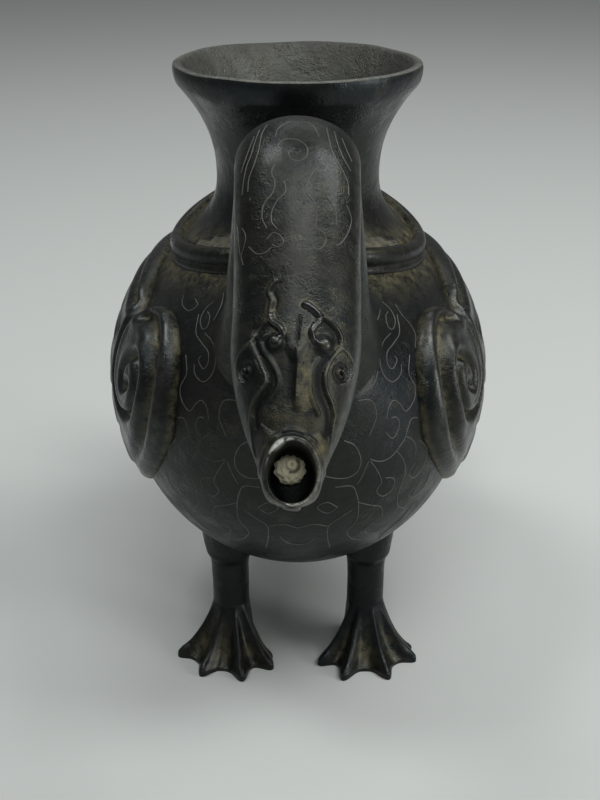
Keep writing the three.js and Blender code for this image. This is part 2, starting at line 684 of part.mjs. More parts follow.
for (const [word, side] of sides) {
  addPiece(`eye_${word}`, ball(eyePoint(side, 0.1), eyeRadius), bronze);
  addPiece(`wing_${word}`, wingSolid(side), bronze);
  addPiece(`leg_${word}`, legSolid(side), bronze);
  plugPlaces.map(flankPlace).forEach((place, i) => {
    addPiece(`core_plug_${word}_${i + 1}`, fullShell.intersect(plugRod(side, place, -jointGap)), bronze);
  });
  const grow = jointGap + wireHalf;
  for (const [name, rows] of Object.entries(breastWires)) {
    const points = smooth(rows.map(breastPlace), rows.length * 2)
      .map(([x, z]) => [-side * x, bodyFront(x, z, grow), z]);
    addPiece(`breast_wire_${name}_${word}`,
      sweep(points, points.map((p) => bodyNormal(...p)), wireHalf), silver);
  }
  for (const [name, rows] of Object.entries(neckWires)) {
    const path = smooth(rows, rows.length * 2).map(([place, share]) => [place, acos(-side * share)]);
    addPiece(`neck_wire_${name}_${word}`, sweep(path.map(([p, turn]) => neckPoint(p, turn, grow)),
      path.map(([p, turn]) => neckNormal(p, turn)), wireHalf), silver);
  }
}

// The origin goes to the middle of the footprint, on the ground
const extent = new THREE.Box3().setFromObject(dropper);
const centre = extent.getCenter(new THREE.Vector3());
dropper.position.set(-centre.x, -centre.y, -extent.min.z);
dropper.updateMatrixWorld(true);

export default dropper;
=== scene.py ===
# %% [markdown]
# # A bronze duck that holds water
# The object is a small cast bronze vessel. A trumpet mouth stands on the duck's back, the neck is
# hollow and the water leaves through an oval spout in the bill. The castings come from the packed
# model, which gives the true places and sizes. This lesson dresses them with finer surfaces, the
# silver wire that is laid into the breast and neck, and an old patina.

# %% load the frame
import math

import bpy
import numpy as np
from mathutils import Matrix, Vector
from mathutils.kdtree import KDTree


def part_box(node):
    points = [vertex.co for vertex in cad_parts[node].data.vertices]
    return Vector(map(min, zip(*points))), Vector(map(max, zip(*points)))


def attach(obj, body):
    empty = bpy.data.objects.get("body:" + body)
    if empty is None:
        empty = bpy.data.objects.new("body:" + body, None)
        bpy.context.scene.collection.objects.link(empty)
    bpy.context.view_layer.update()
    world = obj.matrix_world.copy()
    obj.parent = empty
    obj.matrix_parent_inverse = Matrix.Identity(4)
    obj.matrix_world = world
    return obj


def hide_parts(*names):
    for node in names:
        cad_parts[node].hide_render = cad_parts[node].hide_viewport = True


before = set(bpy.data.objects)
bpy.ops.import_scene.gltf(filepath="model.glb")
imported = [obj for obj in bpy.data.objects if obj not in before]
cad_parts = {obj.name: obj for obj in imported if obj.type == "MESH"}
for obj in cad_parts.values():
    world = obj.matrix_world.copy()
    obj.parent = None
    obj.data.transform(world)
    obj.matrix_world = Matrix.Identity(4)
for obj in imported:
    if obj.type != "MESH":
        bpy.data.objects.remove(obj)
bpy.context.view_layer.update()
bpy.context.scene.view_settings.view_transform = "Standard"

# %% [markdown]
# The maker's sizes are easier to read in millimetres with the trumpet's axis in the middle, so the
# forms below are written that way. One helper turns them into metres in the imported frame, whose
# origin is the middle of the footprint. The shift is measured from the trumpet itself.

# %% from the maker's sizes to the frame
MM = 0.001
trumpet_low, trumpet_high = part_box("trumpet_mouth")
SHIFT_Y = (trumpet_low.y + trumpet_high.y) / 2


def placed(points):
    """Points in millimetres from the trumpet's axis, as metres in the frame."""
    points = np.asarray(points, float) * MM
    points[..., 1] += SHIFT_Y
    return points


def vertex_places(piece):
    places = np.empty(len(piece.data.vertices) * 3)
    piece.data.vertices.foreach_get("co", places)
    return places.reshape(-1, 3)


def maker_places(piece):
    """Where a piece's vertices are, in millimetres from the trumpet's axis."""
    return vertex_places(piece) / MM - [0, SHIFT_Y / MM, 0]


def shape(piece, points):
    """Moves a piece's vertices to points in millimetres from the trumpet's axis."""
    piece.data.vertices.foreach_set("co", placed(points).ravel())
    piece.data.update()


print("the trumpet's axis is", round(SHIFT_Y / MM, 2), "mm behind the footprint's middle")

# %% [markdown]
# ## How a piece is finished
# An operator works on everything that is selected, so each step starts with nothing selected. A shaped
# piece has its seams and poles merged and its faces turned outwards. Then it takes a material, rides
# on the object and hides the castings that it stands for. Numbers are kept on its vertices, such as
# how much dirt lies there and how much shade is painted there, so that one material can look different
# in a recess and on a ridge.

# %% selecting, closing and handing over
MERGE = 2e-6
SHEET_ANGLE = 60


def deselect():
    if bpy.context.object and bpy.context.object.mode != "OBJECT":
        bpy.ops.object.mode_set(mode="OBJECT")
    bpy.ops.object.select_all(action="DESELECT")


def select_only(piece):
    deselect()
    bpy.context.view_layer.objects.active = piece
    piece.select_set(True)


def added(name):
    """The object that an operator has just added, under its own name."""
    bpy.context.object.name = name
    return bpy.context.object


def close_seams(piece, merge=MERGE):
    select_only(piece)
    bpy.ops.object.mode_set(mode="EDIT")
    bpy.ops.mesh.select_all(action="SELECT")
    bpy.ops.mesh.remove_doubles(threshold=merge)
    bpy.ops.mesh.dissolve_degenerate(threshold=merge)
    bpy.ops.mesh.normals_make_consistent(inside=False)
    bpy.ops.object.mode_set(mode="OBJECT")


def mark(piece, **marks):
    """Keeps numbers for each vertex, under the name of an effect."""
    for effect, values in marks.items():
        layer = piece.data.attributes.new(effect, "FLOAT", "POINT")
        layer.data.foreach_set("value", np.clip(values, 0, 1).astype(np.float32))


def wears(piece, *materials):
    piece.data.materials.clear()
    for material in materials:
        piece.data.materials.append(material)


def settle(piece, slot, *nodes, angle=40):
    """The finished piece rides on the object and takes its castings' place. The slot is not used."""
    select_only(piece)
    bpy.ops.object.shade_smooth_by_angle(angle=math.radians(angle))
    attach(piece, "root")
    if nodes:
        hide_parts(*nodes)
    print(piece.name, len(piece.data.polygons), "faces")


# %% [markdown]
# Forms and marks fade in and out softly, as a hand would model them. A few small curves do all of that:
# a straight ramp, an eased one, a bell and a dome, and a ripple of waves for the uneven wax model.

# %% soft steps and swells
def ramp(value, start, length):
    """0 before the start, 1 past the length, a straight rise between. A negative length falls."""
    return np.clip((value - start) / length, 0, 1)


def eased(share):
    return share * share * (3 - 2 * share)


def bell(distance, width):
    return np.exp(-(distance / width) ** 2)


def dome(share):
    """A quarter circle that falls from 1 at the middle to 0 at a share of 1."""
    return np.sqrt(np.clip(1 - share ** 2, 0, 1))


def ripple(points, size, seed=0):
    """A soft unevenness of a hand-made surface, between -1 and 1."""
    rng = np.random.default_rng(seed)
    total = np.zeros(len(points))
    for _ in range(6):
        direction = rng.normal(size=3)
        direction *= 2 * math.pi / (size * rng.uniform(0.6, 1.6)) / np.linalg.norm(direction)
        total += np.sin(points @ direction + rng.uniform(0, 6.28))
    return total / 6


print("a swell 2 mm wide is", round(float(bell(1, 2)), 2), "high at 1 mm from its middle")

# %% [markdown]
# ## The finishes
# Old bronze is not one colour. Under the wax it is blackish brown with blue-grey patches, ochre dirt
# sits in the recesses, and handling has rubbed the high places. Shade is painted in as well, near black,
# in hollows, inside the spout and on sides turned away from the lamps, and a few highlights are painted
# in with the colours of worn and bare metal. Painted pictures could show that, but they would need a
# flat layout for every casting. Noise in the object's own space needs none, and the numbers kept on the
# vertices put dirt, painted shade, wear and painted highlights in their places. All that is made once,
# as a node group, and bronze, silver and lime each place the same group with their own colours and values.

# %% the patina group
SHADE_BLACK = (0.005, 0.006, 0.006)
POLISHED_BLACK = (0.010, 0.011, 0.011)
LIT_BARE_METAL = (0.72, 0.72, 0.68)
INPUTS = {"Dark": "Color", "Blue": "Color", "Dirt": "Color", "Worn": "Color",
          "Roughness": "Float", "Metal": "Float", "Wax": "Float"}
OUTPUTS = {"Color": "Color", "Roughness": "Float", "Metal": "Float", "Coat": "Float", "Height": "Float"}


def patina_group():
    """Colour, roughness, metal, coat and height of an old metal surface, for the shader."""
    group = bpy.data.node_groups.new("old_metal_patina", "ShaderNodeTree")
    for way, sockets in (("INPUT", INPUTS), ("OUTPUT", OUTPUTS)):
        for socket, kind in sockets.items():
            group.interface.new_socket(socket, in_out=way, socket_type="NodeSocket" + kind)
    nodes, links = group.nodes, group.links
    given = nodes.new("NodeGroupInput").outputs
    coordinates = nodes.new("ShaderNodeTexCoord").outputs["Object"]

    def noise(scale, detail, rough=0.55):
        node = nodes.new("ShaderNodeTexNoise")
        node.inputs["Scale"].default_value = scale
        node.inputs["Detail"].default_value = detail
        node.inputs["Roughness"].default_value = rough
        links.new(coordinates, node.inputs["Vector"])
        return node.outputs["Fac"]

    def spread(value, low, high, out_low=0.0, out_high=1.0):
        node = nodes.new("ShaderNodeMapRange")
        for socket, number in zip(("From Min", "From Max", "To Min", "To Max"),
                                  (low, high, out_low, out_high)):
            node.inputs[socket].default_value = number
        links.new(value, node.inputs["Value"])
        return node.outputs["Result"]

    def arithmetic(kind, first, second):
        node = nodes.new("ShaderNodeMath")
        node.operation = kind
        node.use_clamp = kind == "MULTIPLY"
        for socket, value in zip(node.inputs, (first, second)):
            if isinstance(value, (int, float)):
                socket.default_value = value
            else:
                links.new(value, socket)
        return node.outputs[0]

    def times(first, second):
        return arithmetic("MULTIPLY", first, second)

    def plus(first, second):
        return arithmetic("ADD", first, second)

    def minus(first, second):
        return arithmetic("SUBTRACT", first, second)

    def mixed(amount, first, second):
        node = nodes.new("ShaderNodeMix")
        node.data_type = "RGBA"
        links.new(amount, node.inputs["Factor"])
        for socket, value in ((node.inputs["A"], first), (node.inputs["B"], second)):
            if isinstance(value, tuple):
                socket.default_value = (*value, 1)
            else:
                links.new(value, socket)
        return node.outputs["Result"]

    def kept(effect):
        node = nodes.new("ShaderNodeAttribute")
        node.attribute_name = effect
        return node.outputs["Fac"]

    # Painted shade: where the vertices carry the shade mark, the colour goes near black, in hollows, inside
    # the spout, under the body and on sides turned away from the lamps.
    sooty, polished = kept("soot"), kept("polish")
    # The wear mark is partly real rubbing and partly painted highlight, such as the thin light lines along
    # the neck's sides. The bare mark is worn metal that is painted pale and less metallic, as a painted
    # highlight.
    rubbed_and_lit = times(spread(noise(520, 4), 0.3, 0.6), kept("wear"))
    bare_and_lit = times(spread(noise(800, 5), 0.38, 0.5), kept("bare_and_lit"))
    in_recesses = times(spread(noise(420, 7, 0.75), 0.38, 0.62), kept("dirt"))
    stray = times(spread(noise(75, 8, 0.65), 0.56, 0.74), 0.2)
    soiled = plus(in_recesses, stray)
    lighter = nodes.new("ShaderNodeVectorMath")
    lighter.operation = "SCALE"
    lighter.inputs["Scale"].default_value = 1.9
    links.new(given["Dark"], lighter.inputs[0])
    patches = spread(noise(38, 5), 0.42, 0.62)
    mottles = spread(noise(420, 4), 0.4, 0.68)
    color = mixed(patches, given["Dark"], given["Blue"])
    color = mixed(times(mottles, 0.35), color, lighter.outputs[0])
    for amount, coating in ((soiled, given["Dirt"]), (rubbed_and_lit, given["Worn"]), (sooty, SHADE_BLACK),
                            (times(polished, 0.7), POLISHED_BLACK), (bare_and_lit, LIT_BARE_METAL)):
        color = mixed(amount, color, coating)

    glossy = spread(noise(150, 4), 0.5, 0.62)
    rough = plus(given["Roughness"], spread(noise(160, 6), 0.3, 0.7, -0.09, 0.12))
    rough = plus(plus(rough, times(soiled, 0.3)), times(sooty, 0.15))
    for smooth in (rubbed_and_lit, polished, glossy):
        rough = minus(rough, times(smooth, 0.16))
    coat = plus(times(minus(1, plus(sooty, soiled)), given["Wax"]), times(polished, 0.7))
    metallic = times(spread(plus(soiled, bare_and_lit), 0, 1, 1, 0.1), given["Metal"])

    grain = plus(times(noise(1900, 3), 0.4), times(noise(420, 6, 0.7), 0.4))
    pits = times(spread(noise(820, 3, 0.5), 0.30, 0.44), 0.2)
    specks = times(noise(3000, 2), spread(glossy, 0, 1, 0.1, 1.0))
    height = plus(plus(grain, pits), specks)
    out = nodes.new("NodeGroupOutput")
    for socket, value in zip(OUTPUTS, (color, rough, metallic, coat, height)):
        links.new(value, out.inputs[socket])
    print("the patina takes", ", ".join(INPUTS))
    return group


PATINA = patina_group()

# %% the four materials
def metal_finish(name, bump, reach, **values):
    """A material that places the patina with its own values and shows it through one shader.

    Where there is no metal or wax at all, the shader keeps its own 0, as a link would carry nothing.
    """
    material = bpy.data.materials.new(name)
    material.use_nodes = True
    tree = material.node_tree
    shader = tree.nodes["Principled BSDF"]
    shader.inputs["Coat Roughness"].default_value = 0.2
    look = tree.nodes.new("ShaderNodeGroup")
    look.node_tree = PATINA
    for socket, value in values.items():
        look.inputs[socket].default_value = (*value, 1) if isinstance(value, tuple) else value
    for effect, socket, strength in (("Color", "Base Color", 1), ("Roughness", "Roughness", 1),
                                     ("Metal", "Metallic", values["Metal"]),
                                     ("Coat", "Coat Weight", values["Wax"])):
        if strength:
            tree.links.new(look.outputs[effect], shader.inputs[socket])
    lift = tree.nodes.new("ShaderNodeBump")
    lift.inputs["Strength"].default_value = bump
    lift.inputs["Distance"].default_value = reach
    tree.links.new(look.outputs["Height"], lift.inputs["Height"])
    tree.links.new(lift.outputs["Normal"], shader.inputs["Normal"])
    print("material", name)
    return material


bronze = metal_finish(
    "waxed_bronze", 0.7, 0.00025, Dark=(0.016, 0.017, 0.015), Blue=(0.012, 0.017, 0.020),
    Dirt=(0.125, 0.107, 0.045), Worn=(0.20, 0.195, 0.175), Roughness=0.37, Metal=0.8, Wax=0.13)
mouth_bronze = metal_finish(
    "mouth_bronze", 0.9, 0.0004, Dark=(0.040, 0.040, 0.032), Blue=(0.075, 0.077, 0.066),
    Dirt=(0.15, 0.135, 0.09), Worn=(0.22, 0.22, 0.19), Roughness=0.5, Metal=0.4, Wax=0.0)
silver = metal_finish(
    "silver_wire", 0.15, 0.00005, Dark=(0.070, 0.070, 0.062), Blue=(0.10, 0.10, 0.09),
    Dirt=(0.07, 0.065, 0.045), Worn=(0.25, 0.25, 0.24), Roughness=0.6, Metal=0.4, Wax=0.0)
residue = metal_finish(
    "spout_residue", 0.8, 0.0003, Dark=(0.23, 0.215, 0.145), Blue=(0.33, 0.31, 0.22),
    Dirt=(0.09, 0.075, 0.045), Worn=(0.33, 0.32, 0.26), Roughness=0.7, Metal=0.0, Wax=0.0)

# %% [markdown]
# ## The body
# The body is a hollow egg with a round opening under the trumpet. It could be turned on an axis, but
# the real one is wider than it is high, so it starts as a sphere and is scaled to the egg. Its rear
# end is lifted, and the wings, wires and collar later ask the same egg where its surface is.

# %% the egg
BODY_HALF = np.array([45.0, 58.0, 45.8])
BODY_SCALE = 47.0
BODY_MIDDLE = 71.3
BODY_WALL = 2.6
BODY_OPENING = 19.8
TAIL_LIFT = 7.0
COLLAR_RADIUS = 31.2
LEG = np.array([18.0, -22.6])
THIGH = 7.5
SHADE_TOP, SHADE_FADE = 78, 26


def body_middle(y):
    return BODY_MIDDLE + TAIL_LIFT * (np.maximum(0, y) / BODY_HALF[1]) ** 2


def rest_of_egg(first, second):
    """What is left of one half size at two shares of the others."""
    return np.sqrt(np.clip(1 - first ** 2 - second ** 2, 0, 1))


def above_body(points):
    """About how far points are outside the body's surface, in millimetres."""
    offset = points.copy()
    offset[:, 2] -= body_middle(points[:, 1])
    return (np.linalg.norm(offset / BODY_HALF, axis=1) - 1) * BODY_SCALE


deselect()
bpy.ops.mesh.primitive_uv_sphere_add(segments=160, ring_count=112, radius=1,
                                     rotation=(math.radians(90), 0, 0))
body = added("body")
bpy.ops.object.transform_apply(location=False, rotation=True, scale=False)
bpy.ops.object.mode_set(mode="EDIT")
bpy.ops.transform.resize(value=tuple(BODY_HALF), center_override=(0, 0, 0))
bpy.ops.object.mode_set(mode="OBJECT")
egg = vertex_places(body)
egg[:, 2] += body_middle(egg[:, 1])
near_legs = np.hypot(np.abs(egg[:, 0]) - LEG[0], egg[:, 1] - LEG[1])
egg += (egg - [0, 0, BODY_MIDDLE]) / 50 * (0.12 * ripple(egg, 30, 3))[:, None]
shape(body, egg)
near_collar = np.hypot(egg[:, 0], egg[:, 1]) - COLLAR_RADIUS
# Ochre dirt lies round the collar and the thighs; the lower body takes painted shade, darker towards the
# bottom.
mark(body, dirt=(0.75 * bell(near_collar, 4) * (egg[:, 2] > BODY_MIDDLE)
                 + 0.4 * bell(near_legs - THIGH, 2.5) * (egg[:, 2] < BODY_MIDDLE)),
     soot=0.4 * ramp(egg[:, 2], SHADE_TOP, -SHADE_FADE))
print("the egg is", np.ptp(egg, axis=0).round(1), "mm")

# %% [markdown]
# Water has to pass from the trumpet into the body, so the faces over the opening are selected by their
# place and deleted. A Solidify modifier then gives the wall its thickness, inwards, which keeps the
# outer surface where it is.

# %% the opening and the wall
select_only(body)
bpy.ops.object.mode_set(mode="EDIT")
bpy.ops.mesh.select_mode(type="FACE")
bpy.ops.mesh.select_all(action="DESELECT")
bpy.ops.object.mode_set(mode="OBJECT")
for polygon in body.data.polygons:
    x, y, z = polygon.center
    polygon.select = math.hypot(x, y - SHIFT_Y) < BODY_OPENING * MM and z > BODY_MIDDLE * MM
bpy.ops.object.mode_set(mode="EDIT")
bpy.ops.mesh.delete(type="FACE")
bpy.ops.mesh.select_mode(type="VERT")
bpy.ops.object.mode_set(mode="OBJECT")
close_seams(body)
wall = body.modifiers.new("wall", "SOLIDIFY")
wall.thickness = BODY_WALL * MM
wall.offset = -1
bpy.ops.object.modifier_apply(modifier="wall")
wears(body, bronze)
settle(body, "bronze", "body_shell")

# %% [markdown]
# ## The trumpet and its collar
# Both are turned forms. A Screw modifier could make them, but here each starts as a circle that is
# extruded up the profile, ring by ring, and scaled to the next radius, so that the rings lie where the
# profile bends. Their feet are then bent down over the sides of the back, like a saddle.

# %% turned pieces
def turned(name, profile, sides=144):
    """A circle is extruded along a profile of (radius, height) and closed on itself."""
    deselect()
    radius, height = profile[0]
    bpy.ops.mesh.primitive_circle_add(vertices=sides, radius=radius * MM, location=(0, SHIFT_Y, 0))
    piece = added(name)
    bpy.ops.object.mode_set(mode="EDIT")
    bpy.ops.mesh.select_mode(type="EDGE")
    bpy.ops.mesh.select_all(action="SELECT")
    bpy.ops.transform.translate(value=(0, 0, height * MM))
    for next_radius, next_height in [*profile[1:], profile[0]]:
        lift = (0, 0, (next_height - height) * MM)
        bpy.ops.mesh.extrude_edges_move(TRANSFORM_OT_translate={"value": lift})
        bpy.ops.transform.resize(value=(next_radius / radius, next_radius / radius, 1),
                                 center_override=(0, SHIFT_Y, next_height * MM))
        radius, height = next_radius, next_height
    bpy.ops.object.mode_set(mode="OBJECT")
    bpy.ops.object.transform_apply(location=True, rotation=True, scale=True)
    close_seams(piece, 5e-6)
    return piece


def round_axis(piece):
    """A turned piece's points, with their turn and distance round the axis."""
    points = maker_places(piece)
    return points, np.arctan2(points[:, 1], points[:, 0]), np.hypot(points[:, 0], points[:, 1])


def saddle(turn):
    """The height of the back under the collar, which is lowest at the sides."""
    half = BODY_HALF + 0.3
    x, y = COLLAR_RADIUS * np.cos(turn), COLLAR_RADIUS * np.sin(turn)
    return body_middle(y) + half[2] * rest_of_egg(x / half[0], y / half[1])


SEAT_LOW = float(saddle(np.array(0.0)))
print("the collar's seat is", round(float(saddle(math.pi / 2)) - SEAT_LOW, 1), "mm higher behind")

# %% the trumpet
COLLAR_HEIGHT = 4.9
FOOT_Z = SEAT_LOW + COLLAR_HEIGHT
OUTER_FOOT = 27.85
WAIST_RADIUS, WAIST_Z = 19.6, 125.0
MOUTH_RADIUS, MOUTH_Z = 29.0, 150.0
LIP_BAND = 4.6
LIP_RAISE = (1.05, 0.65)
RAISED_BAND = 3.5
LIP_WAVE = 24
TRUMPET_WALL = 2.4
FOOT_CURVE, MOUTH_CURVE = 2.3, 2.2
LIP_ROUND = [(1.0, 3.8), (0.45, 2.9), (0.1, 1.9), (0.0, 0.9), (0.2, 0.25), (0.6, 0), (1.5, 0), (2.1, 0.15)]


def trumpet_side(inwards, top_radius, top):
    """One side of the wall: in from the foot to the waist, then out to the mouth."""
    waist = WAIST_RADIUS - inwards
    foot = [(waist + (OUTER_FOOT - WAIST_RADIUS) * (1 - s) ** FOOT_CURVE, FOOT_Z + (WAIST_Z - FOOT_Z) * s)
            for s in np.linspace(0, 1, 14)]
    return foot + [(waist + (top_radius - waist) * s ** MOUTH_CURVE, WAIST_Z + (top - WAIST_Z) * s)
                   for s in np.linspace(0, 1, 18)[1:]]


wall_profile = trumpet_side(0, MOUTH_RADIUS - 1.7, MOUTH_Z - LIP_BAND)
wall_profile += [(MOUTH_RADIUS - inwards, MOUTH_Z - down) for inwards, down in LIP_ROUND]
wall_profile += trumpet_side(TRUMPET_WALL, MOUTH_RADIUS - 2.5, MOUTH_Z - 0.6)[::-1]
trumpet = turned("trumpet", [(float(radius), float(z)) for radius, z in wall_profile])
form, turn, radius = round_axis(trumpet)
bend = ramp(form[:, 2], WAIST_Z, FOOT_Z - WAIST_Z) ** 1.6 * (saddle(turn) - SEAT_LOW)
above_foot = form[:, 2] - FOOT_Z
form[:, 2] += bend
uneven = ripple(np.c_[np.cos(turn), np.sin(turn), form[:, 2] / 60] * MOUTH_RADIUS, LIP_WAVE, 5)
lip_raise = LIP_RAISE[0] - LIP_RAISE[1] * np.sin(turn)
form[:, 2] += lip_raise * ramp(form[:, 2], MOUTH_Z - RAISED_BAND, 3)
form[:, :2] *= (1 + 0.007 * uneven * ramp(form[:, 2], MOUTH_Z - 15, 15))[:, None]
form[:, 2] -= np.where(form[:, 2] > MOUTH_Z - 3, 0.35 * (0.6 - uneven).clip(0), 0)
shape(trumpet, form)
mark(trumpet, dirt=0.8 * bell(above_foot, 3.5),
     wear=(form[:, 2] > MOUTH_Z - 1) * bell(radius - MOUTH_RADIUS + 0.9, 0.45))
wears(trumpet, bronze, mouth_bronze)
for polygon in trumpet.data.polygons:
    outward = Vector((polygon.center.x, polygon.center.y - SHIFT_Y, 0)).normalized()
    faces_in = polygon.normal.dot(outward) < -0.1 or polygon.normal.z > 0.8
    polygon.material_index = 1 if faces_in else 0
settle(trumpet, "aged_bronze", "trumpet_mouth")

# %% the collar
collar_profile = [(21.0, -2.6), (26.0, -2.6), (COLLAR_RADIUS - 0.3, -2.6)]
collar_profile += [(COLLAR_RADIUS + out, height) for out, height in (
    (0.0, -1.1), (0.3, -0.5), (0.4, 0.1), (0.3, 0.6), (0.0, 0.95), (-0.05, 1.3), (0.15, 1.8), (0.4, 2.5),
    (0.45, 3.3), (0.3, 4.1), (-0.1, 4.8), (-0.8, 5.3), (-1.5, 5.45), (-2.2, 5.2), (-2.7, 4.8))]
collar_profile += [(OUTER_FOOT + 0.3, COLLAR_HEIGHT - 0.3), (OUTER_FOOT - 1, COLLAR_HEIGHT + 0.25),
                   (21.0, COLLAR_HEIGHT + 0.25)]
collar = turned("collar", collar_profile)
form, turn, radius = round_axis(collar)
height = form[:, 2].copy()
form[:, 2] += saddle(turn) + 0.1 * ripple(form, 14, 8)
shape(collar, form)
# Ochre dirt lies in the groove, at the trumpet's foot and on the top. Painted shade fills the groove and
# darkens the side roll.
mark(collar, dirt=(0.5 * bell(height - 1.1, 0.4) + 0.9 * bell(radius - OUTER_FOOT - 0.6, 0.6) * (height > 4)
                   + 0.2 * (height > 4.2)),
     soot=0.7 * bell(height - 1.1, 0.5) + 0.4 * bell(height - 2.4, 0.9))
wears(collar, bronze)
settle(collar, "bronze", "trumpet_collar")

# %% [markdown]
# ## Sheets on a form, and relief drawn as lines
# The other castings are too free for turning. Sculpting would shape them, but not twice alike. Each is
# a flat grid instead, whose points are put on a form that a function gives. Relief is drawn on it as
# lines with a height and a width: a point rises by how near it is to the line, and the same distance
# says where dirt gathers, at the foot of a ridge, where shade is painted, in a trough, and where the
# metal is rubbed, on its top.

# %% sheets and lines
def formed_sheet(name, across, along, form):
    """A bronze piece on a form, a function of two shares from 0 to 1 that gives points and marks."""
    deselect()
    bpy.ops.mesh.primitive_grid_add(x_subdivisions=across, y_subdivisions=along, size=1)
    piece = added(name)
    u, v, _ = np.clip(vertex_places(piece).T + 0.5, 0, 1)
    points, marks = form(u, v)
    shape(piece, points)
    mark(piece, **marks)
    close_seams(piece)
    wears(piece, bronze)
    return piece


def between(p0, p1, p2, p3, share):
    """The smooth curve from the second of four points to the third."""
    return 0.5 * (2 * p1 + (p2 - p0) * share + (2 * p0 - 5 * p1 + 4 * p2 - p3) * share ** 2
                  + (3 * p1 - p0 - 3 * p2 + p3) * share ** 3)


def with_ends(rows):
    """Rows of numbers with one more row at each end, straight on."""
    return np.vstack([2 * rows[0] - rows[1], rows, 2 * rows[-1] - rows[-2]])


def smooth_run(rows, steps):
    """A smooth line that passes through rows of numbers."""
    rows = np.asarray(rows, float)
    ends = with_ends(rows)
    share = np.linspace(0, 1, steps, endpoint=False)[:, None]
    return np.vstack([between(*ends[i:i + 4], share) for i in range(len(rows) - 1)] + [rows[-1:]])


def along_run(run, share):
    """Each column of a run of points, at shares of its steps."""
    steps = np.linspace(0, 1, len(run))
    return [np.interp(share, steps, column) for column in np.transpose(run)]


def distance_to(points, line):
    """How far each point is from a line of points, in millimetres."""
    nearest = np.full(len(points), 1e9)
    for start, end in zip(line[:-1], line[1:]):
        step = end - start
        share = np.clip(((points - start) @ step) / max(1e-9, step @ step), 0, 1)
        gap = np.linalg.norm(points - (start + share[:, None] * step), axis=1)
        nearest = np.minimum(nearest, gap)
    return nearest


def deepen(marks, effect, values):
    marks[effect] = np.maximum(marks[effect], values)


print("a line through 3 rows in steps of 4 has", len(smooth_run([(0, 0), (1, 1), (2, 0)], 4)), "points")

# %% [markdown]
# ## Neck, head and bill
# The neck rises from the breast, bends over and hangs down with the head. A curve with a bevel would
# be quick, but the section is neither round nor even. So sections are given as pairs of points, one on
# the outer and one on the inner side of the bend, with a half width, and a place is a section's number.

# %% the neck form
NECK = np.array([
    (-16, 84, -48, 66, 18), (-27, 102, -53.5, 84, 16.6), (-33.5, 111, -55, 95.5, 15.8),
    (-36.6, 121, -55, 108, 14.8), (-38, 130, -54, 118, 13.7), (-39.6, 138, -53.2, 126, 12.9),
    (-42.8, 144.5, -53.3, 129.6, 12.4), (-47.5, 148.6, -54, 131.4, 12.2), (-53, 149.9, -55.2, 131.6, 12.1),
    (-60, 147, -56.8, 130, 12), (-67, 140.8, -59, 127, 11.9), (-74, 133, -62.5, 121.5, 11.8),
    (-81, 124.5, -67.5, 112.5, 11.9), (-86, 119, -71.5, 106, 11.95), (-90.5, 113.8, -76.5, 100.5, 10.9),
    (-94.7, 108.9, -83.1, 96.8, 9.0), (-98.3, 104.2, -89, 94.2, 6.7), (-101.4, 99.7, -93.8, 92.4, 5.0),
    (-103.7, 95.6, -97.6, 91.7, 3.7)], float)
NECK_ENDS = with_ends(NECK)
NECK_ROOT = 0.7
HEAD_JOINT = 11.6
BILL_JOINT = 16.25
BILL_TIP = len(NECK) - 1
LEAN = -0.95


def neck_lean(place):
    """The head leans a little to one side, as on the original."""
    return LEAN * ramp(np.asarray(place, float), 11.5, 5)


def neck_row(place):
    place = np.clip(place, 0, BILL_TIP)
    low = np.minimum(place.astype(int), BILL_TIP - 1)
    return between(*(NECK_ENDS[low + k] for k in range(4)), (place - low)[:, None])


def neck_point(place, turn, grow=0.0):
    """A point of the neck: place along the sections, turn round them, and distance off the surface."""
    place, turn = np.broadcast_arrays(np.asarray(place, float).ravel(), np.asarray(turn, float).ravel())
    row = neck_row(place)
    middle = (row[:, 0:2] + row[:, 2:4]) / 2
    depth = row[:, 0:2] - row[:, 2:4]
    half = np.linalg.norm(depth, axis=1, keepdims=True)
    yz = middle + depth / half * (half / 2 + grow) * np.sin(turn)[:, None]
    return np.c_[(row[:, 4] + grow) * np.cos(turn) + neck_lean(place), yz]


def neck_out(place, turn):
    out = neck_point(place, turn, 1.0) - neck_point(place, turn)
    return out / np.linalg.norm(out, axis=1, keepdims=True)


def on_neck(rows, steps):
    """A smooth line on the upper side of the neck from (place, sideways millimetres)."""
    rows = smooth_run(rows, steps) if len(rows) > 1 else np.asarray(rows, float)
    half = neck_row(rows[:, 0])[:, 4]
    turn = np.arccos(np.clip((rows[:, 1] - neck_lean(rows[:, 0])) / half, -0.98, 0.98))
    return rows[:, 0], turn


def neck_line(rows, steps=1):
    return neck_point(*on_neck(rows, steps))


print("the bill's tip is at", neck_point(BILL_TIP, 0)[0].round(1), "mm")

# %% [markdown]
# The lines of the face, as places down the head with a sideways distance in millimetres. The two
# sides are nearly alike, as on the hand-modelled original, but the left crest starts higher.

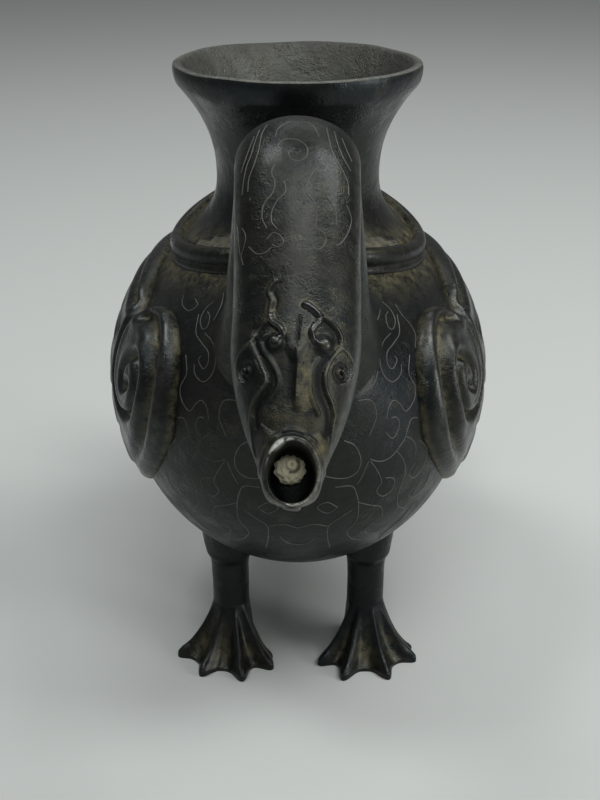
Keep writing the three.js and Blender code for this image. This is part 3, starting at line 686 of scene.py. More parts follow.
# %% the lines of the face
RIDGES = [
    # Crests: a wavy line down the forehead that ends in a bold curl beside a boss
    ([(11.64, -3.9), (11.82, -5.1), (11.98, -4.5), (12.18, -4.8), (12.38, -4.65)], 0.25, 0.5),
    ([(12.34, -4.65), (12.46, -4.6), (12.56, -3.8), (12.68, -2.9), (12.84, -2.7), (12.94, -3.1)], 0.75, 0.7),
    ([(12.1, 1.5), (12.15, 2.3), (12.28, 3.5), (12.44, 4.1), (12.6, 3.2), (12.78, 2.6), (12.94, 3.0),
      (13.06, 3.8)], 0.7, 0.7),
    # Brows, drawn down and out from the crests
    ([(12.38, -4.8), (12.48, -6.0), (12.72, -7.4), (12.98, -8.1), (13.1, -8.1)], 0.3, 0.42),
    ([(12.28, 3.6), (12.44, 5.8), (12.74, 7.6), (13.0, 7.9), (13.2, 7.5)], 0.3, 0.42),
    # Rings that half close round the eyes
    ([(12.96, -8.2), (13.1, -9.5), (13.28, -10.4), (13.52, -10.7), (13.76, -10.4), (13.94, -9.8)], 0.4, 0.42),
    ([(13.1, 7.9), (13.24, 9.1), (13.44, 9.8), (13.68, 9.7), (13.94, 8.7), (14.0, 8.0)], 0.4, 0.42),
    # Thin raised edges between the cheeks and the sunk mask
    ([(12.98, -8.1), (13.22, -7.5), (13.58, -6.4), (13.9, -5.5), (14.12, -5.6), (14.36, -6.9), (14.58, -7.8),
      (14.88, -8.2), (15.24, -8.1), (15.62, -7.8), (16.0, -7.3)], 0.32, 0.38),
    ([(13.12, 7.6), (13.44, 6.1), (13.78, 5.1), (14.06, 4.9), (14.34, 5.3), (14.6, 6.1), (14.9, 6.5),
      (15.24, 6.2), (15.62, 5.8), (15.94, 5.4)], 0.32, 0.38),
]
BANDS = [
    # Broad bands in the mask, each beside a trough
    ([(12.82, -5.2), (12.86, -6.2), (12.98, -6.8), (13.24, -6.1), (13.6, -4.6), (13.86, -3.8),
      (14.1, -3.4), (14.36, -4.1), (14.62, -5.5), (14.88, -6.2)], 0.55, 0.85),
    ([(13.26, 5.4), (13.52, 3.9), (13.86, 2.9), (14.26, 2.7), (14.58, 3.1), (14.9, 3.9)], 0.45, 0.8),
]
TROUGHS = [
    ([(13.4, -6.8), (13.66, -5.6), (13.88, -4.8), (14.12, -4.7), (14.36, -5.4), (14.58, -6.6), (14.84, -7.3),
      (15.2, -7.2)], 0.8, 0.7),
    ([(13.4, 5.7), (13.68, 4.3), (13.92, 3.8), (14.26, 3.9), (14.52, 4.5), (14.8, 5.3), (15.1, 5.6),
      (15.4, 5.4)], 0.8, 1.0),
    ([(12.56, -5.3), (12.6, -6.2), (12.7, -7.2)], 0.9, 0.8),
    ([(12.46, 4.9), (12.6, 5.8), (12.8, 6.6), (12.96, 7.0)], 0.8, 0.75),
    ([(14.9, -6.8), (15.16, -5.9), (15.4, -4.4), (15.55, -2.4), (15.61, 0), (15.53, 2.3), (15.36, 4.1),
      (15.2, 5.2)], 0.4, 0.8),
    ([(11.68, -3.2), (11.84, -4.3), (12.0, -3.7), (12.16, -4.0)], 0.2, 0.35),
]
EYES = {"left": (13.68, -9.1), "right": (13.74, 7.9)}
BOSSES = [((13.02, -3.95), 1.0, 1.1), ((13.08, 4.9), 1.0, 1.15)] + [(eye, 0.8, 0.95) for eye in EYES.values()]
MASK = [
    (12.34, -5.4), (12.54, -7.5), (12.74, -8.1), (12.92, -8.1), (13.22, -7.4), (13.52, -6.3), (13.82, -5.5),
    (14.08, -5.7), (14.34, -6.9), (14.56, -7.8), (14.88, -8.1), (15.16, -6.6), (15.4, -4.8), (15.58, -2.4),
    (15.64, 0), (15.56, 2.3), (15.4, 4.3), (15.2, 5.6), (14.9, 6.4), (14.6, 6.0), (14.34, 5.2), (14.06, 4.8),
    (13.78, 5.0), (13.44, 6.0), (13.12, 7.5), (12.88, 7.8), (12.62, 7.1), (12.4, 5.4), (12.6, 3.4),
    (12.8, 2.5), (13.1, 1.6), (13.26, 0.6), (13.3, -0.3), (13.16, -1.4), (12.9, -2.2), (12.62, -3.2),
    (12.5, -4.6)]
MASK_DEPTH = 0.6
KEEL_HEIGHT, KEEL_WIDTH = 0.95, 3.0
SEAM_DEPTH, SEAM_WIDTH = 0.3, 0.35
BOSS_SUNK = 0.5
KEEL = [(12.34, 0.5), (12.7, 0.2), (13.22, -0.1), (13.54, 0), (13.92, -0.1), (14.28, -0.2), (14.66, -0.3)]
print("the face has", len(RIDGES) + len(BANDS) + len(TROUGHS), "lines and", len(BOSSES), "bosses")

# %% [markdown]
# Between the ridges the face is a sunk mask, and a keel stands in its middle, sheer on one side. Shade
# is painted near black into the cuts, on the keel's sheer side and on the left of the face, away from
# the lamps, and ochre dirt lies on the slopes. The parts are added in the order in which a maker would
# cut them: mask and keel, bands and troughs, ridges, bosses.

# %% the mask and the keel
def crown(distance, width):
    """The round top of a ridge, with a crisp foot."""
    return np.clip(1 - (distance / width) ** 2, 0, 1) ** 0.8


def inside_outline(places, sideways, outline):
    """Which points lie inside a closed outline of (place, sideways)."""
    within = np.zeros(len(places), bool)
    for (p1, x1), (p2, x2) in zip(outline, outline[1:] + outline[:1]):
        crosses = (x1 > sideways) != (x2 > sideways)
        within ^= crosses & (places < p1 + (sideways - x1) / ((x2 - x1) or 1) * (p2 - p1))
    return within


def mask_and_keel(place, points, within, beside, marks):
    """The sunk mask, the keel that stands in it and the fine seam above the keel."""
    from_edge = distance_to(points, neck_line([*MASK, MASK[0]], 3))
    slope = 0.7 + 1.6 * bell(points[:, 0], 2.5) * (place < 13.6)
    rise = -MASK_DEPTH * np.clip(from_edge / slope, 0, 1) * within
    keel = ramp(place, 13.0, 0.5) * ramp(place, 15.0, -0.5)
    sheer = np.exp(np.minimum(beside, 0) / 0.4)
    rise += KEEL_HEIGHT * keel * np.where(beside > 0, np.clip(1 - beside / KEEL_WIDTH, 0, 1), sheer)
    seam = ramp(place, 12.3, 0.2) * ramp(place, 13.2, -0.2)
    rise -= SEAM_DEPTH * seam * bell(beside, SEAM_WIDTH)
    # Painted shade: on the keel's sheer side, in the seam, in the mask left of the keel, a little over the
    # whole face and more on its left side, away from the lamps.
    deepen(marks, "soot", keel * bell(beside + 1.05, 0.95) + 0.8 * seam * bell(beside, 0.4))
    deepen(marks, "soot", 0.6 * within * bell(beside + 2.8, 2.0) * bell(place - 13.7, 0.8))
    deepen(marks, "soot", 0.12 + 0.45 * ramp(points[:, 0], -3.5, -2) * ramp(place, 12.6, 0.6))
    return rise


# %% bands, troughs, ridges and bosses
def face_lines(points, rise, marks):
    for rows, height, width in BANDS:
        rise = rise + height * crown(distance_to(points, neck_line(rows, 6)), width)
    for rows, depth, width in TROUGHS:
        away = distance_to(points, neck_line(rows, 6))
        rise = rise - depth * bell(away, width)
        # Painted shade in the trough.
        deepen(marks, "soot", bell(away, 0.95 * width) * min(1, depth * 1.4))
    for rows, height, width in RIDGES:
        away = distance_to(points, neck_line(rows, 6))
        top = crown(away, width)
        raised = np.maximum(rise, height * top + np.minimum(rise, 0) * 0.4)
        rise = np.where(away < width, raised, rise)
        marks["soot"] = marks["soot"] * (1 - top)
        deepen(marks, "dirt", 0.5 * bell(away - 1.5 * width, 0.5 * width))
        if height > 0.5:
            deepen(marks, "polish", bell(away, width))
        else:
            deepen(marks, "wear", 0.8 * bell(away, 0.4 * width) * height)
    return rise


def face_bosses(points, rise, marks):
    for spot, height, width in BOSSES:
        away = np.linalg.norm(points - neck_line([spot])[0], axis=1)
        is_eye = spot in EYES.values()
        ring, swell = (0.6, 0.2) if is_eye else (0.3, 0.5)
        rise = rise - ring * bell(away - 1.5 * width, 0.5 * width)
        foot = swell * height * np.clip(2 - away / width, 0, 1)
        rise = np.maximum(rise, foot + 0.6 * height * dome(away / width) - BOSS_SUNK)
        # Painted shade in the ring round the boss.
        deepen(marks, "soot", 0.9 * bell(away - 1.3 * width, 0.45 * width))
        if is_eye:
            deepen(marks, "dirt", 0.8 * bell(away - 0.4 * width, 1.2 * width))
        else:
            deepen(marks, "polish", 0.7 * bell(away, width))
    return rise


# %% the whole face
def face_dirt(place, points, within, beside, marks):
    """Ochre dirt beside the keel, on the plate above the spout and in the corners of the bill."""
    slope = bell(beside - 1.6, 1.5) * ramp(place, 13.2, 0.4) * ramp(place, 15.5, -0.2)
    plate = ramp(place, 14.3, 0.5) * ramp(place, 15.55, -0.1) * within
    sideways = np.abs(points[:, 0] + 1)
    corners = bell(place - 15.85, 0.36) * ramp(sideways, 2.8, 1.2) * ramp(sideways, 6.7, -0.8)
    # Painted shade on the sunk plate above the spout.
    deepen(marks, "soot", 0.45 * plate)
    deepen(marks, "dirt", np.maximum.reduce([slope, 0.6 * plate, 1.1 * corners, 0.25 * within]))
    marks["dirt"] = marks["dirt"] * (1 - 0.8 * marks["soot"])


def head_relief(place, points, upper, marks):
    """How far the points of the face rise, with the dirt, painted shade, wear and polish that belong to them.
    """
    within = inside_outline(place, points[:, 0], MASK)
    beside = points[:, 0] - np.interp(place, *np.transpose(KEEL))
    rise = mask_and_keel(place, points, within, beside, marks)
    rise = face_bosses(points, face_lines(points, rise, marks), marks)
    face_dirt(place, points, within, beside, marks)
    marks["soot"] = np.clip(marks["soot"], 0, 1)
    for effect in marks:
        marks[effect] = marks[effect] * upper
    return rise * upper


# %% [markdown]
# The spout is an oval hole in the bill, with a raised lip that is rubbed down to bare metal on a short
# stretch, which is painted pale and less metallic as a highlight. A Boolean could cut it, but it would
# break up the even faces of the sheet. The points inside the oval are pushed in along the hole's axis
# instead, and the last rows of the bill bend round and close on its middle.

# %% the spout in the sheet
SPOUT_PLACE = 16.72
SPOUT_HALF = (4.05, 5.1)
SPOUT_DEPTH = 4.6
LIP_RISE, LIP_STEP = 0.6, 0.3
CAP_LENGTH = 0.7
spout_mouth = neck_point(SPOUT_PLACE, math.pi / 2)[0]
spout_axis = neck_out(SPOUT_PLACE, math.pi / 2)[0]
spout_down = np.cross([1.0, 0, 0], spout_axis)
spout_down *= -np.sign(spout_down[2])


def spout_lip(points, rise, upper_side, marks):
    """Raises the lip; also gives how far out points are, where 1 is the edge of the hole."""
    offset = points - spout_mouth
    hole = np.hypot(offset[:, 0] / SPOUT_HALF[0], offset @ spout_down / SPOUT_HALF[1])
    rise = rise * np.clip((hole - 1) * 3, 0, 1)
    rise += (LIP_RISE * bell(hole - 1.14, 0.12) + LIP_STEP * bell(hole - 1.4, 0.1)) * upper_side
    deepen(marks, "wear", 0.7 * bell(hole - 1.1, 0.06) * upper_side)
    round_hole = np.arctan2(offset[:, 0], -(offset @ spout_down))
    width = 0.02 + 0.07 * bell(round_hole + 0.45, 0.4)
    # The bare stretch of the lip is worn metal with a painted highlight.
    bare_and_lit = np.clip(1.2 - np.abs(hole - 1.07) / width, 0, 1) * upper_side
    marks["bare_and_lit"] = bare_and_lit * bell(round_hole + 0.4, 0.55)
    return rise, hole


def bill_end(points, share):
    """The last rows bend round and close on the middle of the bill's tip."""
    tip = neck_point(BILL_TIP, 0)[0] * [0, 1, 1]
    ahead = tip - neck_point(BILL_TIP - 0.4, 0)[0] * [0, 1, 1]
    ahead /= np.linalg.norm(ahead)
    bend = share[:, None] * math.pi / 2
    return tip + (points - tip) * np.cos(bend) + ahead * (CAP_LENGTH * np.sin(bend))


print("the spout opens at", spout_mouth.round(1), "mm and", SPOUT_DEPTH, "mm deep")

# %% [markdown]
# One function wraps the sheet for neck, head and bill, so that their forms meet. The head's sheet has
# its points closer together on the upper side, where the face is. The neck swells where it comes out of
# the body, and the body swells towards the neck, which makes the soft shoulder between the castings.

# %% neck, head and bill
FILLET = 11.0
CAP_SHARE = 0.06
TIP_START, TIP_NARROW = 17, 0.9
SKIN_UNEVEN = 0.06


def neck_skin(name, first, last, across, along):
    """A sheet wrapped round the neck form between two places, with relief where it is head."""
    def form(u, v):
        narrow = 1.0 if last == HEAD_JOINT else 0.62 + 0.38 * (2 * np.abs(u - 0.5)) ** 2
        turn = math.pi / 2 + (u - 0.5) * 2 * math.pi * narrow
        end = CAP_SHARE if last == BILL_TIP else 0.0
        place = first + (last - first) * np.clip(v / (1 - end), 0, 1)
        points = neck_point(place, turn)
        outs = neck_out(place, turn)
        tip = np.sqrt(1 - TIP_NARROW * np.clip(place - TIP_START, 0, 1) ** 3)
        points[:, 0] = neck_lean(place) + (points[:, 0] - neck_lean(place)) * tip
        marks = {effect: np.zeros(len(u)) for effect in ("dirt", "soot", "wear", "polish")}
        rise = np.zeros(len(u))
        if last > HEAD_JOINT:
            upper = np.clip(np.sin(turn) * 4 + 0.6, 0, 1) * np.clip((place - 11.4) * 3, 0, 1)
            rise = head_relief(place, points, upper, marks)
        upper_side = np.sin(turn) > 0
        rise, hole = spout_lip(points, rise, upper_side, marks)
        points = points + outs * (rise + SKIN_UNEVEN * ripple(points, 9, 2))[:, None]
        sunk = eased(ramp(hole, 1.03, -0.16) * upper_side * (place > 14))
        points = points - spout_axis * (SPOUT_DEPTH * sunk)[:, None]
        if last == BILL_TIP:
            points = bill_end(points, ramp(v, 1 - end, end))
        if first == NECK_ROOT:
            near = np.clip(1 - np.abs(above_body(points)) / FILLET, 0, 1)
            points = points + outs * (FILLET * near ** 2 / 4)[:, None]
        # Painted shade inside the spout.
        deepen(marks, "soot", sunk)
        deepen(marks, "dirt", (0.06 + 0.12 * (place > 12.4)) * (1 - marks["soot"]))
        marks["dirt"] = marks["dirt"] * (1 - sunk)
        # Painted highlight: thin light lines along both sides of the neck, where the floor is reflected at a
        # grazing angle.
        deepen(marks, "wear", 0.3 * bell(np.abs(np.cos(turn)) - 0.93, 0.05) * (place > 6))
        return points, marks

    return formed_sheet(name, across, along, form)


neck = neck_skin("neck", NECK_ROOT, HEAD_JOINT, 128, 200)
settle(neck, "bronze", "duck_neck")
head = neck_skin("head", HEAD_JOINT, BILL_JOINT, 300, 230)
settle(head, "bronze", "duck_head", angle=SHEET_ANGLE)
bill = neck_skin("bill_lip", BILL_JOINT, BILL_TIP, 260, 130)
settle(bill, "bronze", "lower_bill", angle=SHEET_ANGLE)

# %% the shoulder
NECK_SAMPLES = (60, 128)
lift_to = KDTree(NECK_SAMPLES[0] * NECK_SAMPLES[1])
root_place, root_turn = np.meshgrid(np.linspace(NECK_ROOT, 5, NECK_SAMPLES[0]),
                                    np.linspace(0, 2 * math.pi, NECK_SAMPLES[1]))
for index, point in enumerate(neck_point(root_place, root_turn)):
    lift_to.insert(Vector(point), index)
lift_to.balance()


def shoulder(points):
    """How far and where the body's surface rises towards the neck."""
    gap = np.array([lift_to.find(Vector(point))[2] if point[1] < 0 else 99 for point in points])
    outwards = points - [0, 0, BODY_MIDDLE]
    outwards /= np.linalg.norm(outwards, axis=1)[:, None]
    rise = FILLET * np.clip(1 - gap / FILLET, 0, 1) ** 2 / 4 * (np.abs(above_body(points)) < 1)
    return outwards * rise[:, None]


skin = maker_places(body)
risen = shoulder(skin)
shape(body, skin + risen)
print("the shoulder rises up to", round(float(np.abs(risen).max()), 2), "mm towards the neck")

# %% [markdown]
# ## Spout tube, residue and eyes
# A small tube comes through the floor of the spout and pale lime from the water has settled round it.
# A displaced plane could stand for the lime, but it is a firm lump, so it starts as a sphere and is
# pushed about by a ripple. The tube is a torus with its bore left open. The eyes are low domes, made
# from a sphere in the same way.

# %% inside the spout
def lump(name, middle, half, axes, swell_size, swell, seed):
    """A sphere on its own axes, made uneven by a ripple."""
    deselect()
    bpy.ops.mesh.primitive_uv_sphere_add(segments=48, ring_count=32, radius=1)
    piece = added(name)
    ball = vertex_places(piece)
    uneven = ball * np.asarray(half) * (1 + swell * ripple(ball * 3, swell_size, seed))[:, None]
    shape(piece, middle + uneven @ np.asarray(axes))
    close_seams(piece)
    return piece


spout_side = np.array([1.0, 0, 0])
spout_axes = np.array([spout_side, spout_down, spout_axis])
floor_middle = spout_mouth - spout_axis * (SPOUT_DEPTH - 0.1)
crust = lump("spout_crust", floor_middle - spout_down * 1.5 - spout_side * 0.3,
             (2.7, 2.7, 1.3), spout_axes, 1.3, 0.13, 4)
tube_middle = floor_middle - spout_down * 2.0 + spout_axis * 1.15
sideways, down, _ = ((maker_places(crust) - tube_middle) @ spout_axes.T).T
# Painted shadow: a dark crescent beside the tube.
mark(crust, soot=bell(np.hypot(sideways, down) - 1.3, 0.3) * (sideways + 0.5 * down > 0.2))
wears(crust, residue)
settle(crust, "aged_bronze")
deselect()
bpy.ops.mesh.primitive_torus_add(major_segments=40, minor_segments=16, major_radius=0.58,
                                 minor_radius=0.46)
tube = added("spout_tube_end")
shape(tube, tube_middle + vertex_places(tube) @ spout_axes)
close_seams(tube)
wears(tube, residue)
settle(tube, "aged_bronze", "spout_tube")

# %% the eyes
for word, spot in EYES.items():
    place, turn = on_neck([spot], 1)
    out = neck_out(place, turn)[0]
    side = np.cross(out, [0, 0, 1.0])
    side /= np.linalg.norm(side)
    eye = lump("eye_of_duck_" + word, neck_point(place, turn)[0] + out * 0.35, (0.6, 0.7, 0.5),
               [side, np.cross(out, side), out], 3, 0.02, 6)
    wears(eye, bronze)
    settle(eye, "bronze", "eye_" + word)

# %% [markdown]
# ## The wings
# Each wing is a raised shield on the flank with a rounded edge. Its front swells into a volute, an old
# motif for a feathered shoulder, and furrows run back from it like quills. A flat plate could be bent
# on with a Shrinkwrap modifier. The sheet here follows the body's own egg directly, lifted by the
# wing's thickness, so that its edge sinks into the flank everywhere.

# %% the wing form
WING_TOP = smooth_run([
    (-44.8, 77), (-44.3, 80.6), (-42.3, 86.9), (-38.6, 92.5), (-33.9, 96.5), (-29.4, 98.8), (-25, 99.3),
    (-21.3, 98.0), (-18.6, 95.4), (-17, 93.4), (-14.9, 94.9), (-12.6, 96.9), (-9, 99), (-2, 100.9),
    (5, 101.9), (14, 102), (26, 101), (38, 98.3), (49, 93.5)], 10)
WING_BOTTOM = smooth_run([
    (-44.8, 77), (-44, 73.3), (-41.2, 67.6), (-36.8, 62.1), (-31.2, 57.2), (-25.8, 53.6), (-20, 51.4),
    (-13, 51), (-6, 52.6), (4, 56.6), (14, 61.6), (28, 71.5), (39, 82), (49, 93.5)], 14)
WING_OUTLINE = np.vstack([WING_TOP, WING_BOTTOM[::-1]])
WING_FURROWS = [
    ([(-23, 95.6), (-26.4, 96.1), (-31, 94), (-35, 89.8), (-37.7, 84.2), (-38.6, 78.5), (-37.4, 72.5),
      (-34, 66.6), (-29, 61), (-23, 56)], 2.3, 1.35),
    ([(-17.5, 93.3), (-17.2, 89), (-17.8, 84), (-19.6, 79.2), (-23.4, 75.2), (-28.4, 74), (-32.4, 76),
      (-33.8, 80.6), (-32.6, 85.6), (-29.6, 88.4), (-26.7, 87), (-25.8, 83.2), (-27.6, 80.4), (-29.6, 81.8)],
     1.7, 1.0),
    ([(-12, 94.5), (-4, 96.6), (8, 98), (24, 97.6), (38, 95.6)], 1.3, 1.0),
    ([(-11, 86), (2, 88.5), (18, 91), (36, 93)], 0.9, 0.9),
    ([(-13, 77), (2, 79.5), (18, 84), (36, 90.5)], 0.9, 0.9),
    ([(-17, 68.5), (0, 70.5), (16, 77), (33, 86.5)], 0.9, 0.9),
    ([(-23, 61), (-6, 61.5), (10, 68), (27, 79)], 0.9, 0.9),
]
WING_THICK = 3.5
WING_ROLL = 3.6
WING_SUNK = 0.5
WING_LOW, WING_FADE = 80, 26


def wing(side, word):
    def form(u, v):
        bottom, top = (np.transpose(along_run(run, u)) for run in (WING_BOTTOM, WING_TOP))
        flat = bottom + (top - bottom) * ((1 - np.cos(v * math.pi)) / 2)[:, None]
        y, z = flat.T
        to_edge = distance_to(flat, WING_OUTLINE)
        edge = dome(1 - np.clip(to_edge / WING_ROLL, 0, 1))
        thick = WING_THICK * (1 - 0.4 * ramp(z, WING_LOW, -WING_FADE))
        rise = (thick + WING_SUNK) * edge - WING_SUNK
        marks = {"dirt": 0.55 * bell(to_edge - 0.1, 0.4), "wear": 0.15 * bell(to_edge - 2.2, 0.8)}
        for index, (rows, depth, width) in enumerate(WING_FURROWS):
            away = distance_to(flat, smooth_run(rows, 6))
            fade = 1 - 0.8 * ramp(z, 76, -12) if index == 0 else 1.0
            rise -= fade * depth * bell(away, width) * edge
            rise += fade * 0.35 * bell(away - 2.2 * width, width) * edge
            deepen(marks, "dirt", fade * 0.75 * bell(away, 0.7 * width))
            deepen(marks, "wear", fade * 0.2 * bell(away - 2 * width, 0.5 * width))
        x = side * BODY_HALF[0] * rest_of_egg(y / BODY_HALF[1], (z - body_middle(y)) / BODY_HALF[2])
        points = np.c_[x, flat]
        outs = points / BODY_HALF ** 2 - [0, 0, BODY_MIDDLE / BODY_HALF[2] ** 2]
        return points + outs / np.linalg.norm(outs, axis=1)[:, None] * rise[:, None], marks

    piece = formed_sheet("wing_shield_" + word, 300, 170, form)
    settle(piece, "bronze", "wing_" + word, angle=SHEET_ANGLE)


wing(-1, "left")
wing(1, "right")

# %% [markdown]
# ## Legs and webbed feet
# A leg is one casting from thigh to toes. Skin over a few bones would give the limb, but not the thin
# web. So a sheet is wrapped round the shank and flares out at the bottom into a fan, with four ribs
# that run down into the toes and webs sunk between them. Toes are given as (angle, length).

# %% the legs
TOES = {"left": [(-41, 16.8), (-11, 17.6), (26, 17.1), (62, 15.9)],
        "right": [(-48, 16.5), (-20, 18), (19, 17.5), (54, 16.3)]}
TOE_SPREAD = 7.8
RIB_SPREAD = 9.5
WEB_REACH = 13.2
HEEL_REACH = 6.2
HEEL_HEIGHT = 2.3
TOE_HEIGHT = 2.7
WEB_DEPTH = 1.5
SHANK = [(7.3, 41), (7.1, 37), (6.6, 33), (6.1, 30), (5.2, 28.2), (4.95, 26), (4.8, 20), (4.85, 14.5)]
SHANK_OUT, SHANK_LOW = SHANK[-1]
SHANK_SHARE, FLARE_SHARE, EDGE_SHARE = 0.4, 0.46, 0.07


def leg(side, word):
    def form(u, v):
        angle = u * 360 - 180
        turn = np.radians(angle)
        fan = eased(ramp(angle, -70, 16) * ramp(angle, 88, -16))
        reach = HEEL_REACH + (WEB_REACH - HEEL_REACH) * fan
        ribs = np.zeros(len(u))
        for toe, length in TOES[word]:
            reach += (length - WEB_REACH) * bell(angle - toe, TOE_SPREAD)
            ribs += bell(angle - toe, RIB_SPREAD)
        flare = ramp(v, SHANK_SHARE, FLARE_SHARE)
        out = SHANK_OUT + (reach - SHANK_OUT) * flare
        along = np.clip((out - SHANK_OUT) / (reach - SHANK_OUT), 0, 1)
        heel = HEEL_HEIGHT + (SHANK_LOW - HEEL_HEIGHT) * (1 - flare) ** 1.6
        height = TOE_HEIGHT + (SHANK_LOW - TOE_HEIGHT) * (1 - along) ** 1.8
        height -= WEB_DEPTH * (1 - ribs) * np.sqrt(along) * np.clip(3 * along, 0, 1)
        near_edge = np.clip((reach + 0.3 - out) / 2.2, 0, 1)
        height *= 0.35 + 0.65 * dome(1 - near_edge)
        height = height * fan + heel * (1 - fan)
        turn_under = ramp(v, SHANK_SHARE + FLARE_SHARE, EDGE_SHARE) * math.pi / 2
        sole = ramp(v, 1 - EDGE_SHARE, EDGE_SHARE)
        is_foot = v > SHANK_SHARE
        shank_out, shank_height = along_run(SHANK, np.clip(v / SHANK_SHARE, 0, 1))
        out = np.where(is_foot, (out + 0.4 * np.sin(turn_under)) * (1 - sole), shank_out)
        height = np.where(is_foot, height * np.cos(turn_under), shank_height)
        webs = fan * np.clip(1 - ribs, 0, 1) * bell(along - 0.62, 0.3)
        # Painted shade: the feet darken towards the shank, and the shank is dark all over and most just below
        # the thigh.
        marks = {"dirt": np.where(is_foot, webs * 0.8, 0),
                 "soot": np.where(is_foot, 0.5 * (1 - along), 0.5 + 0.4 * bell(height - 28.4, 0.8))}
        points = np.c_[side * (LEG[0] + out * np.sin(turn)), LEG[1] - out * np.cos(turn), height]
        uneven = np.c_[ripple(points, 9, 7), ripple(points, 11, 9), np.zeros(len(points))]
        return points + 0.1 * uneven, marks

    piece = formed_sheet("leg_and_foot_" + word, 360, 150, form)
    settle(piece, "bronze", "leg_" + word, angle=SHEET_ANGLE)


leg(-1, "left")
leg(1, "right")

# %% [markdown]
# ## Silver inlay
# Grooves were cut in the bronze and silver wire was hammered in. Lines in the material would be flat
# from every side, so each wire is a thin bevelled curve on the surface, sunk in by two thirds. The
# wires follow scrolls of cloud on the breast, most of them mirrored, and plumes on the neck.

# %% wires on the surface
WIRE = 0.14
WIRE_SUNK = -0.05


def inlay(name, lines, casting):
    """One curve with a line for each wire, made into a mesh that stands for a casting's wires."""
    deselect()
    bpy.ops.curve.primitive_bezier_curve_add()
    wire = added(name)
    wire.data.splines.clear()
    for points in lines:
        spline = wire.data.splines.new("POLY")
        spline.points.add(len(points) - 1)
        spline.points.foreach_set("co", np.c_[placed(points), np.ones(len(points))].ravel())
    wire.data.bevel_depth = WIRE * MM
    wire.data.bevel_resolution = 1
    wire.data.use_fill_caps = True
    bpy.ops.object.convert(target="MESH")
    wire = bpy.context.object
    wears(wire, silver)
    settle(wire, "silver_inlay", *[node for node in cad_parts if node.startswith(casting + "_wire")])


# %% wires on the breast
BREAST = [
    [(-18.6, 104), (-20.6, 102.4), (-21.6, 100.5), (-20.8, 99.3), (-19.5, 100), (-19.2, 101.6),
     (-19.9, 102.2)],
    [(-22.2, 101.2), (-22.5, 98.3), (-20.7, 97), (-19, 96), (-19, 94.2), (-20.3, 92.9), (-21.5, 94),
     (-20.9, 94.9)],
    [(-20.1, 98.8), (-18, 97.8), (-17, 95.6), (-17.9, 92.7), (-20.3, 90.6), (-22.4, 91.3), (-22.6, 93)],
    [(-24.9, 93.9), (-24.6, 90.8), (-26, 88.1), (-26.2, 86.1), (-25.3, 84.5), (-23.8, 83.8), (-22.4, 85.7),
     (-20.8, 87), (-19.6, 86), (-19.2, 83.7)],
    [(-19.2, 80.9), (-20.8, 79.1), (-22, 80.2), (-22.4, 81.8), (-21.5, 83.4), (-20.3, 83.6)],
    [(-26.8, 81.2), (-25.3, 81.6), (-24.4, 79.8), (-23.7, 77.8), (-22.3, 76.3), (-20.5, 74.8), (-18.2, 74.6),
     (-15.7, 75.9)],
    [(-23.9, 78.4), (-25.4, 77.1), (-26.5, 75.2), (-26.6, 72.6)],
    [(-21.9, 75.8), (-23.4, 73.4), (-24.2, 70.7), (-23.9, 67.6), (-22.9, 63.9), (-23, 59.8), (-25.3, 56.4)],
    [(-15.9, 75.4), (-17.6, 72.4), (-18.6, 69.3), (-17.6, 67), (-19.1, 64.9), (-20.9, 65.6), (-21.8, 67.5),
     (-21.2, 69.2), (-19.5, 69.9)],
    [(-15.5, 75.6), (-14.4, 72.8), (-13.1, 70.3)],
    [(-9.8, 81.5), (-12.3, 79.8), (-13.7, 76.3), (-13, 73.6), (-11.1, 72.5), (-8.6, 72.7), (-6, 73.6)],
    [(-8.2, 70.5), (-11.8, 70.1), (-13, 67.6), (-13.5, 64.6), (-13.5, 60.7), (-12.9, 58.9)],
    [(-13.5, 65.1), (-16.3, 63.3), (-18.8, 61.6), (-19.5, 57.6)],
    [(-8.8, 64.8), (-6.5, 66.6), (-4.3, 65.4), (-6.6, 63.4), (-8.8, 64.8)],
    [(-12, 63.2), (-9.6, 61.5), (-6.9, 59), (-6.8, 54.4), (-7.4, 50)],
    [(-6.9, 59), (-3.4, 60.2), (0, 59)],
    [(-12.4, 89.1), (-15.1, 88.6), (-16.4, 86.8), (-16.7, 84.7), (-16, 82.8), (-15.3, 81.3)],
    [(-29.5, 92), (-28.2, 88.5), (-29.6, 85), (-28.6, 82.4), (-27.2, 84.2), (-28, 86.4)],
    [(-27.4, 76), (-29.4, 72.6), (-29, 68.5), (-26.6, 66.4), (-25.2, 68.6), (-26.6, 70.6)],
    [(-31, 66), (-29.8, 61.6), (-27.2, 59.6), (-25.6, 61.6), (-27, 63.4)],
    [(-20.5, 53.4), (-17.4, 52.2), (-15.4, 54), (-16.6, 56.4), (-18.4, 55.4)],
    [(-12.9, 58.9), (-11.2, 55.6), (-12.6, 52.2), (-15, 50)],
    [(-4.2, 55.8), (-2.4, 53.2), (0, 52.4)],
    [(-27.4, 57.4), (-24.4, 52.4), (-20.8, 49.6), (-19.6, 46.4)],
]
BREAST_ALONE = [
    [(-15.7, 101), (-17, 100.2), (-17.2, 98.7), (-16.4, 97.8), (-15.4, 98.5), (-15.1, 100), (-15.7, 100.9)],
    [(-26.3, 102.7), (-26.5, 101.3), (-24.8, 101), (-22.7, 102.5), (-23.4, 103.2)],
    [(-16.3, 105.6), (-16.4, 104), (-17.3, 102.2), (-18.1, 101.2)],
    [(17.9, 102.8), (17.1, 101.7), (15.3, 99.9)],
    [(16.6, 93.4), (16.2, 92), (15.1, 91), (13, 90.4)],
    [(22, 102.8), (23.4, 100.9), (25.4, 98.7), (26.6, 96.6), (26.4, 94.6)],
]


